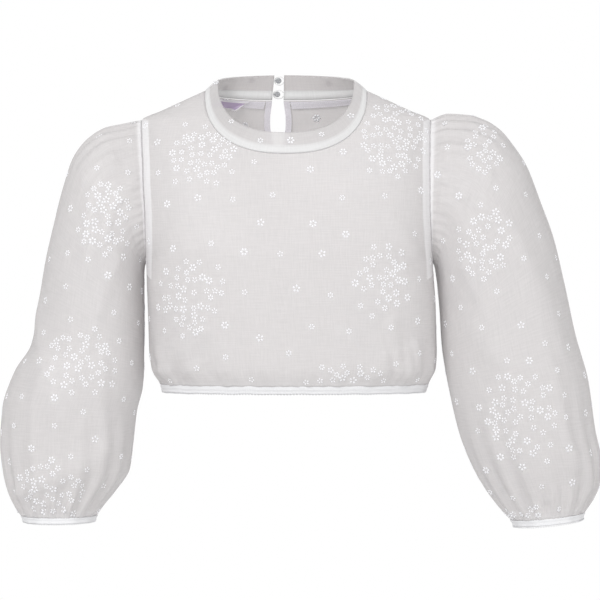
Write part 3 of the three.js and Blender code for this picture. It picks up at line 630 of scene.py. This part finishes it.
class Sleeve:
    """The draped surface of one sleeve, by ring from 0 at the armhole and by angle around."""

    def __init__(self, side, table, folds):
        self.side = side
        self.folds = folds
        self.row_at = read_rows(SLEEVE_KEYS, table)
        self.seam = {}

    def plain(self, ring, around):
        around %= 360
        if around not in self.seam:
            start = ring_point(self.row_at(0), around)
            self.seam[around] = armhole_seam_point(self.side, around) - start
        return ring_point(self.row_at(ring), around) + self.seam[around] * read_line(ARMHOLE_BLEND, ring)

    def outward(self, ring, around):
        low, high = max(ring - 0.15, 0), min(ring + 0.15, LAST_RING)
        along = self.plain(high, around) - self.plain(low, around)
        across = self.plain(ring, around + 2) - self.plain(ring, around - 2)
        return along.cross(across).normalized() * -self.side

    def point(self, ring, around, lift=0.0):
        push = self.outward(ring, around) * (sleeve_relief(ring, around % 360, self.folds) + lift)
        gap = Vector((self.side * (SEAM_GAP / 2) * max(1 - ring, 0), 0, 0))
        return self.plain(ring, around) + push + gap

    def uv(self, ring, around):
        return around * MM_PER_DEGREE, ring * MM_PER_RING


SLEEVE_RINGS = between(list(range(LAST_RING + 1)), [9] * 4 + [7] * 8 + [9] * 4)
SLEEVE_TURNS = [360 * i / 200 for i in range(201)]
sleeves = {
    "left": Sleeve(1, LEFT_SLEEVE, LEFT_SLEEVE_FOLDS),
    "right": Sleeve(-1, RIGHT_SLEEVE, RIGHT_SLEEVE_FOLDS),
}
for side_name, sleeve in sleeves.items():
    turns = SLEEVE_TURNS[::-1] if sleeve.side > 0 else SLEEVE_TURNS
    # The whiter sleeve head is painted light over the shade where sleeve and bodice meet, on cloth made
    # denser by the allowances
    tube = cloth_shell("sleeve_" + side_name + "_cloth", SLEEVE_RINGS, turns, sleeve.point, sleeve.uv,
                       organza, ORGANZA_THICKNESS, is_tube=True,
                       backed_painted_lighter_at=lambda ring, around: 1 - soft_step(0.1, 0.4, ring))
    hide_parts("sleeve_" + side_name)

# Neckband
# A low stand collar of two layers of organza, cut on the neck seam's curve and closed at the centre back.
# The trimmed allowances of the neck seam lie inside it. Along its foot the band is denser and painted paler,
# as painted light.
BAND_TOP_HALF_WIDTH = 78
BAND_TOP_FRONT = 66
BAND_TOP_BACK = 53
BAND_TOP_HEIGHT = 18.4
BAND_FRONT_DROP = 64.9
BAND_BACK_DROP = -10.6
BAND_BACK_CORNER = 2
BAND_WALL = 1.4
BAND_HEIGHT = 20
BAND_MM_PER_TURN = 130

# The strip of allowances along the foot, as shares of the band's height
ALLOWANCE_SHARES = [0.36, 0.18, 0.02]
ALLOWANCE_WALL = 0.3


def band_top_point(foot):
    aside = clamp(foot.x / NECK_HALF_WIDTH, -1, 1)
    is_ahead = foot.y < SEAM_GAP
    corner = NECK_CORNER if is_ahead else BAND_BACK_CORNER
    drop = BAND_FRONT_DROP if is_ahead else BAND_BACK_DROP
    fall = (1 - abs(aside) ** corner) ** (1 / corner)
    depth = -BAND_TOP_FRONT if is_ahead else BAND_TOP_BACK
    height = BAND_TOP_HEIGHT - drop * fall
    return Vector((BAND_TOP_HALF_WIDTH * aside, depth * math.sqrt(1 - aside * aside), height))


def band_foot(turn):
    """The neck seam from the right end of the closing, at 0, round the front to the left end, at 4."""
    if turn <= 1:
        return back_point(0, lerp(SLIT_COLUMN + 1, BACK_STEPS, turn))
    if turn < 3:
        return front_point(0, turn - 2)
    return back_point(0, lerp(0, SLIT_COLUMN, turn - 3))


def band_point(share, turn, lift=0.0):
    """A place on the band: share runs from its foot, at 0, to its top edge, at 1."""
    foot = band_foot(turn)
    top = band_top_point(foot)
    rise = foot.lerp(top, lerp(0.6 / (top - foot).length, 1, share))
    across = band_foot(min(turn + 0.02, 4)) - band_foot(max(turn - 0.02, 0))
    outward = across.cross(top - foot).normalized()
    pucker = 0.3 * math.sin(turn * 19 + 2 * math.sin(turn * 7)) * share
    return rise + outward * (0.7 * math.sin(math.pi * share) + pucker + lift)


def band_uv(share, turn):
    return turn * BAND_MM_PER_TURN, share * BAND_HEIGHT


BAND_SHARES = [1 - i / 12 for i in range(13)]
BAND_TURNS = between([0, 1, 3, 4], [50, 110, 50])


# Along the foot the band is denser and painted paler; the paler colour is painted light
def band_backed_painted_lighter(share, turn):
    return 1 - soft_step(0.3, 0.38, share)


# The inner side's darker colour is painted shade for the shaded inside of the band
double_organza = [
    woven_organza("two layers of silk organza, right side", "#e7e5e5", "#f1f1f1", 0.56, 0.74),
    woven_organza("two layers of silk organza, inner side with painted shade", "#b8b2b2", "#dad8da", 0.6, 0.7),
]
neckband = cloth_shell("neckband_cloth", BAND_SHARES, BAND_TURNS, band_point, band_uv, double_organza,
                       BAND_WALL, backed_painted_lighter_at=band_backed_painted_lighter)
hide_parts("neckband")


def allowance_point(share, turn):
    return band_point(share, turn, -BAND_WALL - SEAM_GAP)


seam_cloth = [woven_organza("trimmed seam allowance of organza", "#f4f4f4", "#ffffff", 0.6, 0.6)]
allowance = cloth_shell("neck_seam_allowance", ALLOWANCE_SHARES, BAND_TURNS, allowance_point, band_uv,
                        seam_cloth, ALLOWANCE_WALL)

# Shoulder, side and sleeve seams
# Narrow French seams, four layers of organza thick and pressed to one side. They lie inside the cloth and
# show through it as pale lines.
SEAM_HALF_WIDTH = 2.2
SEAM_WALL = 0.5
SEAM_DEPTH = 0.7
SEAM_MM_PER_PLACE = 8


def side_seam_point(side, row, offset):
    """A place beside the seam between front and back. Offsets run towards the back."""
    height = side_height(row)
    depth = bodice_at(height)[2 if offset < 0 else 4]
    return relief_point(side * (90 + math.degrees(math.asin(offset / depth))), height, -SEAM_DEPTH)


def seam_strip(name, places, offsets, point_at):
    strip = cloth_shell(name, places, offsets, point_at,
                        lambda place, offset: (offset, place * SEAM_MM_PER_PLACE), seam_cloth, SEAM_WALL)


SHOULDER_PLACES = between([0.2, SHOULDER_ROWS - 0.1], [14])
SIDE_PLACES = between(list(range(UNDERARM_ROW, LAST_ROW + 1)), [5] * (LAST_ROW - UNDERARM_ROW))
for side_name, sleeve in sleeves.items():
    outward_order = [-SEAM_HALF_WIDTH * sleeve.side, SEAM_HALF_WIDTH * sleeve.side]
    for seam, seam_places in (("shoulder_seam_", SHOULDER_PLACES), ("side_seam_", SIDE_PLACES)):
        seam_strip(seam + side_name, seam_places, outward_order,
                   lambda row, offset, side=sleeve.side: side_seam_point(side, row, offset))
    seam_strip("sleeve_seam_" + side_name, between([0.3, LAST_RING], [60]), outward_order[::-1],
               lambda ring, offset, sleeve=sleeve:
               sleeve.point(ring, 180 + offset / MM_PER_DEGREE, -SEAM_DEPTH))

# Elastic edging at the hem and the cuffs
# A knitted lace elastic, 9 to 10 mm wide with its picots, stitched over the gathered edge. It has fine ribs
# along its length. The picots are small loops of its own thread along its free edge.
EDGE_WALL = 1.5
EDGE_WIDTH = 9
HEM_TOP = -330.9
HEM_BOTTOM = -339.3
PICOT_SPACING = 3
RIB_SPACING = 1.6
KNIT_SPACING = 2.2

# A wave texture of scale 1 has this many radians to a unit of its coordinates
WAVE_UNIT = 20


def elastic_knit(name, colour):
    """Cotton-covered rubber threads: matt and bright, with ribs 1.6 mm apart along the band."""
    material = new_material(name, {"Base Color": linear(colour), "Roughness": 0.75, "Sheen Weight": 0.2})
    place = add_node(material, "ShaderNodeTexCoord", {}, {}).outputs["UV"]
    ribs = []
    for direction, spacing_mm in (("Y", RIB_SPACING), ("X", KNIT_SPACING)):
        scale = 2 * math.pi / WAVE_UNIT / (spacing_mm * METRES_PER_MM)
        lines = add_node(material, "ShaderNodeTexWave",
                         {"Scale": scale, "Distortion": 1.0, "bands_direction": direction},
                         {"Vector": place})
        ribs.append(lines.outputs["Fac"])
    relief = add_node(material, "ShaderNodeMath", {"operation": "ADD"}, dict(enumerate(ribs)))
    bump = add_node(material, "ShaderNodeBump", {"Strength": 0.5, "Distance": 0.4 * METRES_PER_MM},
                    {"Height": relief.outputs[0]})
    feed(material, "Normal", bump.outputs["Normal"])
    return material


def hem_point(height, turn):
    """Height is 1 at the band's top edge and 0 at its bottom one."""
    angle = 360 * turn
    spot = bodice_point(angle, lerp(HEM_BOTTOM, HEM_TOP, height))
    outward = Vector((spot.x, spot.y, 0)).normalized()
    wave = 0.45 * math.sin(math.radians(angle * 31)) + 0.3 * math.sin(math.radians(angle * 17 + 50))
    rib = 0.3 * math.sin(math.pi * height * 4)
    return spot + outward * (0.2 + 0.6 * wave + rib) + Vector((0, 0, 0.4 * wave))


class CuffEdge:
    """The band at the foot of a sleeve, from the sleeve's last ring to a lower ring."""

    def __init__(self, sleeve, outer_x, outer_z, inner_x, inner_z):
        self.top = sleeve.row_at(LAST_RING)
        self.bottom = [outer_x, outer_z, inner_x, inner_z] + self.top[4:]

    def point(self, height, turn):
        around = 360 * turn
        row = [lerp(low, high, height) for low, high in zip(self.bottom, self.top)]
        spot = ring_point(row, around)
        outward = (spot - ring_point(row, 90).lerp(ring_point(row, 270), 0.5)).normalized()
        wave = 0.4 * math.sin(math.radians(around * 13)) + 0.25 * math.sin(math.radians(around * 7 + 30))
        rib = 0.3 * math.sin(math.pi * height * 3)
        return spot + outward * (0.1 + wave + rib) + Vector((0, 0, -0.4 * height))


def stand_on(spot, outward, upward):
    """Takes a small shape's Z to the outward direction and its Y as near as it can to the upward one."""
    sideways = upward.cross(outward).normalized()
    turn = Matrix((sideways, outward.cross(sideways), outward)).transposed().to_4x4()
    return Matrix.Scale(METRES_PER_MM, 4) @ Matrix.Translation(spot) @ turn


def small_shape(mesh):
    """Turns a bmesh in millimetres into a mesh that can be copied many times."""
    bmesh.ops.recalc_face_normals(mesh, faces=mesh.faces[:])
    shape = bpy.data.meshes.new("small_shape")
    mesh.to_mesh(shape)
    mesh.free()
    return shape


def joined_copies(name, copies, material):
    """One piece made of small shapes, each with the matrix that puts it in its place."""
    joined = bmesh.new()
    for shape, matrix in copies:
        start = len(joined.verts)
        joined.from_mesh(shape)
        joined.verts.ensure_lookup_table()
        bmesh.ops.transform(joined, matrix=matrix, verts=joined.verts[start:])
    new_piece(name, joined, [material])


def picot_shape():
    """Half a ring of thread that hangs down, 2.8 mm wide."""
    loop = bmesh.new()
    bmesh.ops.create_circle(loop, segments=3, radius=0.42)
    bmesh.ops.rotate(loop, verts=loop.verts, cent=(0, 0, 0), matrix=Matrix.Rotation(math.pi / 2, 3, "X"))
    bmesh.ops.translate(loop, verts=loop.verts, vec=(1.05, 0, 0))
    bmesh.ops.spin(loop, geom=loop.verts[:] + loop.edges[:], cent=(0, 0, 0), axis=(0, 0, 1), dvec=(0, 0, 0),
                   angle=-math.pi, steps=5, use_merge=False)
    bmesh.ops.holes_fill(loop, edges=loop.edges[:], sides=3)
    bmesh.ops.scale(loop, verts=loop.verts, vec=(1, 1.3, 1))
    return small_shape(loop)


elastic = elastic_knit("knitted lace elastic", "#eeeef0")
picot = picot_shape()
left_cuff = CuffEdge(sleeves["left"], 340, -484.5, 260.5, -493.2)
right_cuff = CuffEdge(sleeves["right"], -301, -488, -218, -487.4)
EDGE_HEIGHTS = [1 - i / 8 for i in range(9)]
EDGE_TURNS = [i / 240 for i in range(241)]
for node, point_at, turns, length in (
        ("hem_band", hem_point, EDGE_TURNS, 0.8),
        ("cuff_left", left_cuff.point, EDGE_TURNS[::-1], 0.26),
        ("cuff_right", right_cuff.point, EDGE_TURNS, 0.26),
):
    band = cloth_shell(node + "_elastic", EDGE_HEIGHTS, turns, point_at,
                       lambda height, turn, length=length:
                       (turn * length / METRES_PER_MM, height * EDGE_WIDTH),
                       [elastic], EDGE_WALL, is_tube=True)
    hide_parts(node)
    count = round(length / (PICOT_SPACING * METRES_PER_MM))
    copies = []
    for i in range(count):
        spot = point_at(0, i / count)
        upward = (point_at(0.3, i / count) - spot).normalized()
        along = point_at(0, (i + 0.2) / count) - point_at(0, (i - 0.2) / count)
        outward = along.cross(upward).normalized()
        copies.append((picot, stand_on(spot - outward * 0.6 + upward * 0.3, outward, upward)))
    joined_copies(node + "_picots", copies, elastic)

# Label, facings, armhole bindings and loops
# The bindings and facings are straps of the organza folded to several layers. A small satin label, left
# bare, is caught under the back neck facing. Its free end is slanted, and one corner turns up.
LABEL_FROM_X = -79
LABEL_TO_X = -48
LABEL_TOP = 0.8
LABEL_FOOT = 14.5
LABEL_DEPTH = 3.1
LABEL_CURL = 5
LABEL_WALL = 0.4
LABEL_BORDER = 1.6
LABEL_SLANT = 9


def inside_back(x, distance, depth):
    """A place at an x and a distance below the neck seam, in from the back's outer face by a depth."""
    low, high = 0, BACK_STEPS
    for _ in range(24):
        column = (low + high) / 2
        if back_point(0, column).x > x:
            low = column
        else:
            high = column
    row = 0
    spot = back_point(0, column)
    gone = 0
    while gone < distance:
        row += 0.05
        below = back_point(row, column)
        gone += (below - spot).length
        spot = below
    across = back_point(row, column + 0.1) - back_point(row, column - 0.1)
    down = back_point(row + 0.1, column) - spot
    outward = down.cross(across).normalized()
    return spot - outward * depth, outward


def label_point(distance, x):
    turned_up = soft_step(LABEL_TO_X - 6, LABEL_TO_X, x) * soft_step(4, 14, distance)
    free = (x - LABEL_FROM_X) / (LABEL_TO_X - LABEL_FROM_X)
    down = (distance - LABEL_TOP) / (LABEL_FOOT - LABEL_TOP)
    slanted = x + LABEL_SLANT * free * (0.5 - down)
    return inside_back(slanted, distance, LABEL_DEPTH + LABEL_CURL * turned_up)[0]


def label_satin(name, colour, border_colour):
    """Woven polyester satin: smooth and slightly glossy, with a white selvedge all round."""
    material = new_material(name, {"Roughness": 0.35, "Sheen Weight": 0.3})
    place = add_node(material, "ShaderNodeTexCoord", {}, {}).outputs["UV"]
    axes = add_node(material, "ShaderNodeSeparateXYZ", {}, {"Vector": place})
    edges = []
    for axis, start, end in (("X", LABEL_FROM_X, LABEL_TO_X), ("Y", LABEL_TOP, LABEL_FOOT)):
        middle = (start + end) / 2 * METRES_PER_MM
        half = ((end - start) / 2 - LABEL_BORDER) * METRES_PER_MM
        socket = axes.outputs[axis]
        for step in ({"operation": "SUBTRACT", 1: middle}, {"operation": "ABSOLUTE"},
                     {"operation": "GREATER_THAN", 1: half}):
            socket = add_node(material, "ShaderNodeMath", step, {0: socket}).outputs[0]
        edges.append(socket)
    border = add_node(material, "ShaderNodeMath", {"operation": "MAXIMUM"}, dict(enumerate(edges)))
    shade = add_node(material, "ShaderNodeValToRGB", {}, {"Fac": border.outputs[0]})
    shade.color_ramp.elements[0].color = linear(colour)
    shade.color_ramp.elements[1].color = linear(border_colour)
    feed(material, "Base Color", shade.outputs["Color"])
    return material


satin = label_satin("lilac label satin", "#c3b2cf", "#f4f2f5")
LABEL_DISTANCES = between([LABEL_TOP, LABEL_FOOT], [12])
LABEL_XS = between([LABEL_TO_X, LABEL_FROM_X], [24])
label = cloth_shell("label_satin_tab", LABEL_DISTANCES, LABEL_XS, label_point,
                    lambda distance, x: (x, distance), [satin], LABEL_WALL)
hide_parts("label")


def folded_strap(name, colour, opacity):
    """Organza folded to four layers and pressed: matt, nearly opaque, the threads still just visible."""
    material = new_material(name, {"Base Color": linear(colour), "Roughness": 0.6, "Sheen Weight": 0.15})
    place = add_node(material, "ShaderNodeTexCoord", {}, {}).outputs["Object"]
    grain = add_node(material, "ShaderNodeTexNoise",
                     {"Scale": 1 / (DRAWN_THREAD_SPACING * METRES_PER_MM), "Detail": 2.0},
                     {"Vector": place})
    cover = add_node(material, "ShaderNodeMapRange",
                     {"From Min": 0.3, "From Max": 0.7, "To Min": opacity - 0.06, "To Max": opacity + 0.06},
                     {"Value": grain.outputs["Fac"]})
    feed(material, "Alpha", cover.outputs["Result"])
    bump = add_node(material, "ShaderNodeBump", {"Strength": 0.25, "Distance": 0.3 * METRES_PER_MM},
                    {"Height": grain.outputs["Fac"]})
    feed(material, "Normal", bump.outputs["Normal"])
    return material


binding_strap = folded_strap("folded organza binding", "#fbfbfb", 0.75)
facing_strap = folded_strap("folded organza facing, faintly lilac", "#f5f2f8", 0.75)
for node, ends, strap in (
        ("armhole_binding_front_", ("left", "right"), binding_strap),
        ("armhole_binding_back_", ("left", "right"), binding_strap),
        ("slit_facing_", ("left", "right"), facing_strap),
        ("neck_facing_", ("left", "right"), facing_strap),
        ("loop_", ("upper", "lower"), binding_strap),
):
    for end in ends:
        bpy.data.objects[node + end].material_slots[0].material = strap

# Buttons
# Two small ball buttons of clear moulded acrylic with cut facets, silvered behind. They sit on shanks at
# the right end of the neckband.
FACETS_PER_METRE = 520.0
acrylic = new_material("clear moulded acrylic, silvered",
                       {"Base Color": linear("#c4c6c9"), "Roughness": 0.08, "IOR": 1.49, "Coat Weight": 0.6})
cut_place = add_node(acrylic, "ShaderNodeTexCoord", {}, {}).outputs["Object"]
cuts = add_node(acrylic, "ShaderNodeTexVoronoi", {"Scale": FACETS_PER_METRE}, {"Vector": cut_place})
silvering = add_node(acrylic, "ShaderNodeMapRange", {"To Min": 0.2, "To Max": 0.95},
                     {"Value": cuts.outputs["Color"]})
feed(acrylic, "Metallic", silvering.outputs["Result"])
for node in ("button_upper", "button_lower"):
    bpy.data.objects[node].material_slots[0].material = acrylic

# Embroidered daisies and top stitching
# Machine embroidery in a thicker, brighter cotton: small daisies of five or six separate petals, larger and
# smaller ones mixed, in loose clusters with single ones scattered between. Two rows of the same thread hold
# the back neck facing.
DAISY_RADII = (5.2, 4.1, 4.1)
CLUSTER_SPACING = 7.6
OPEN_SPACING = 34
STITCH_LENGTH = 2.4
EMBROIDERY_THREAD_WIDTH = 0.5

# Clusters as the x and height of the middle, and half the width and height
CLUSTERS = [
    (-96, -74, 46, 40),
    (121, -53, 46, 50),
    (-102, -232, 45, 50),
    (108, -214, 36, 45),
    (68, -318, 54, 16),
    (-202, -143, 36, 58),
    (-231, -304, 48, 48),
    (-260, -444, 48, 38),
    (223, -64, 25, 34),
    (223, -174, 36, 50),
    (266, -363, 50, 66),
    (271, -478, 30, 14),
]


def embroidery_cotton(name, colour):
    """Mercerised cotton thread, laid side by side in satin stitch: bright, with a soft gloss along the
    threads. A weak glow is painted light: it stands in for light passing through the thread and lifts petals
    in shade."""
    material = new_material(name, {"Base Color": linear(colour), "Emission Color": linear("#f6f7ff"),
                                   "Emission Strength": 0.12, "Roughness": 0.5, "Sheen Weight": 0.25})
    place = add_node(material, "ShaderNodeTexCoord", {}, {}).outputs["Object"]
    threads = add_node(material, "ShaderNodeTexNoise",
                       {"Scale": 1 / (EMBROIDERY_THREAD_WIDTH * METRES_PER_MM), "Detail": 1.0},
                       {"Vector": place})
    bump = add_node(material, "ShaderNodeBump", {"Strength": 0.2, "Distance": 0.1 * METRES_PER_MM},
                    {"Height": threads.outputs["Fac"]})
    feed(material, "Normal", bump.outputs["Normal"])
    return material


def daisy_shape(petals, radius):
    """Low mounds of satin stitch round a bare middle. They pass through the cloth, as stitches do."""
    flower = bmesh.new()
    for k in range(petals):
        cone = bmesh.ops.create_cone(flower, cap_ends=True, segments=5, radius1=1, radius2=0.5, depth=1)
        petal = cone["verts"]
        bmesh.ops.scale(flower, verts=petal, vec=(0.41 * radius, 0.3 * radius, 0.95))
        bmesh.ops.translate(flower, verts=petal, vec=(0.58 * radius, 0, -0.17))
        turn = Matrix.Rotation(2 * math.pi * k / petals, 3, "Z")
        bmesh.ops.rotate(flower, verts=petal, cent=(0, 0, 0), matrix=turn)
    return small_shape(flower)


def cluster_share(x, height):
    """1 in the middle of a cluster of flowers and 0 outside them all."""
    best = 0
    for middle_x, middle_height, half_width, half_height in CLUSTERS:
        away = math.hypot((x - middle_x) / half_width, (height - middle_height) / half_height)
        best = max(best, 1 - soft_step(0.75, 1.15, away))
    return best


def embroider(name, tries, place_at, point_at, column_step, draw):
    """Drops flowers at random places, close together in the clusters and wider apart elsewhere."""
    chance = random.Random(draw)
    placed = []
    copies = []
    for _ in range(tries):
        row, column = place_at(chance.random(), chance.random())
        shape = chance.choice(daisies)
        turn = chance.uniform(0, math.pi)
        spot = point_at(row, column)
        if spot.y < 0:
            share = cluster_share(spot.x, spot.z)
        else:
            share = cluster_share(0.96 * spot.x + 24, spot.z + 38)
        spacing = lerp(OPEN_SPACING, CLUSTER_SPACING, share)
        if any((spot - other).length < (spacing + other_spacing) / 2 for other, other_spacing in placed):
            continue
        placed.append((spot, spacing))
        along_row = point_at(row, column + column_step) - spot
        outward = (point_at(row + 0.01, column) - spot).cross(along_row).normalized()
        copies.append((shape, stand_on(spot, outward, Vector((0, 0, 1))) @ Matrix.Rotation(turn, 4, "Z")))
    joined_copies(name, copies, cotton)


def front_place(first, second):
    return lerp(0.35, LAST_ROW - 0.35, first), lerp(-0.97, 0.97, second)


def back_place_clear(first, second):
    """As on the front, but clear of the slit and its facings."""
    if second < 0.5:
        column = lerp(0.5, SLIT_COLUMN - 1.5, second * 2)
    else:
        column = lerp(SLIT_COLUMN + 2.5, BACK_STEPS - 0.5, second * 2 - 1)
    return lerp(0.35, LAST_ROW - 0.35, first), column


def sleeve_place(first, second):
    return lerp(0.5, LAST_RING - 0.3, first), 360 * second


def band_place(first, second):
    return lerp(0.45, 0.85, first), lerp(0.1, 3.9, second)


cotton = embroidery_cotton("embroidery cotton", "#e9e9eb")
daisies = [daisy_shape(petals, radius) for petals in (5, 6) for radius in DAISY_RADII]
embroider("daisies_front", 7000, front_place, front_point, 0.002, 11)
embroider("daisies_back", 7000, back_place_clear, back_point, 0.02, 12)
for side_name, sleeve in sleeves.items():
    embroider("daisies_sleeve_" + side_name, 9000, sleeve_place, sleeve.point, -0.3 * sleeve.side,
              13 + sleeve.side)
embroider("daisies_neckband", 400, band_place, band_point, -0.02, 17)

# Two rows of straight stitches along the facing on the left half of the back neck
STITCH_ROWS = (2.2, 8.2)
STITCH_START = 4
STITCHES = 31
stitch_mesh = bmesh.new()
bmesh.ops.create_uvsphere(stitch_mesh, u_segments=5, v_segments=3, radius=1)
bmesh.ops.scale(stitch_mesh, verts=stitch_mesh.verts, vec=(STITCH_LENGTH * 0.42, 0.28, 0.22))
stitch = small_shape(stitch_mesh)
stitch_copies = []
for distance in STITCH_ROWS:
    for i in range(STITCHES):
        x = STITCH_START + i * STITCH_LENGTH
        spot, outward = inside_back(x, distance, 3.0)
        ahead = inside_back(x - 1, distance, 3.0)[0]
        stitch_copies.append((stitch, stand_on(spot, -outward, -outward.cross(ahead - spot))))
joined_copies("neck_facing_stitches", stitch_copies, cotton)

# Camera, lights and floor
# A long lens at the photograph's viewing height, soft light from all round, a weak key light from the
# front at the picture's left, a weaker fill from its right, a white background, and a plain pale floor.
CAMERA_DISTANCE = 2.6
FRAME_WIDTH = 0.69
scene = bpy.context.scene
camera_data = bpy.data.cameras.new("camera")
camera_data.lens = 36 * CAMERA_DISTANCE / FRAME_WIDTH
camera = bpy.data.objects.new("camera", camera_data)
camera.location = (0.0161, -CAMERA_DISTANCE, -0.2346)
camera.rotation_euler = (math.pi / 2, 0, 0)
scene.collection.objects.link(camera)
scene.camera = camera

scene.view_settings.view_transform = "Standard"
scene.cycles.transparent_max_bounces = 40
world = bpy.data.worlds.new("white studio")
world.use_nodes = True
sky = world.node_tree.nodes["Background"]
sky.inputs["Color"].default_value = (1.0, 1.0, 1.0, 1.0)
seen = add_node(world, "ShaderNodeLightPath", {}, {})
brightness = add_node(world, "ShaderNodeMapRange", {"To Min": 0.55}, {"Value": seen.outputs["Is Camera Ray"]})
world.node_tree.links.new(sky.inputs["Strength"], brightness.outputs["Result"])
scene.world = world

for lamp_name, size, power, place in (
        ("key", 1.2, 50, (-1.3, -2.4, 1.3)),
        ("fill", 2.0, 21, (2.2, -1.8, 0.1)),
):
    lamp_data = bpy.data.lights.new(lamp_name, "AREA")
    lamp_data.size = size
    lamp_data.energy = power
    lamp = bpy.data.objects.new(lamp_name, lamp_data)
    lamp.location = place
    lamp.rotation_euler = (Vector((0, 0, -0.25)) - lamp.location).to_track_quat("-Z", "Y").to_euler()
    scene.collection.objects.link(lamp)

floor_mesh = bmesh.new()
bmesh.ops.create_circle(floor_mesh, segments=96, radius=1.2, cap_ends=True)
bmesh.ops.translate(floor_mesh, verts=floor_mesh.verts[:], vec=(0, 0, -0.75))
floor_data = bpy.data.meshes.new("floor")
floor_mesh.to_mesh(floor_data)
floor_mesh.free()
floor = bpy.data.objects.new("floor", floor_data)
scene.collection.objects.link(floor)
floor_paint = new_material("white studio floor", {"Base Color": linear("#f2f2f2"), "Roughness": 0.9})
floor_data.materials.append(floor_paint)
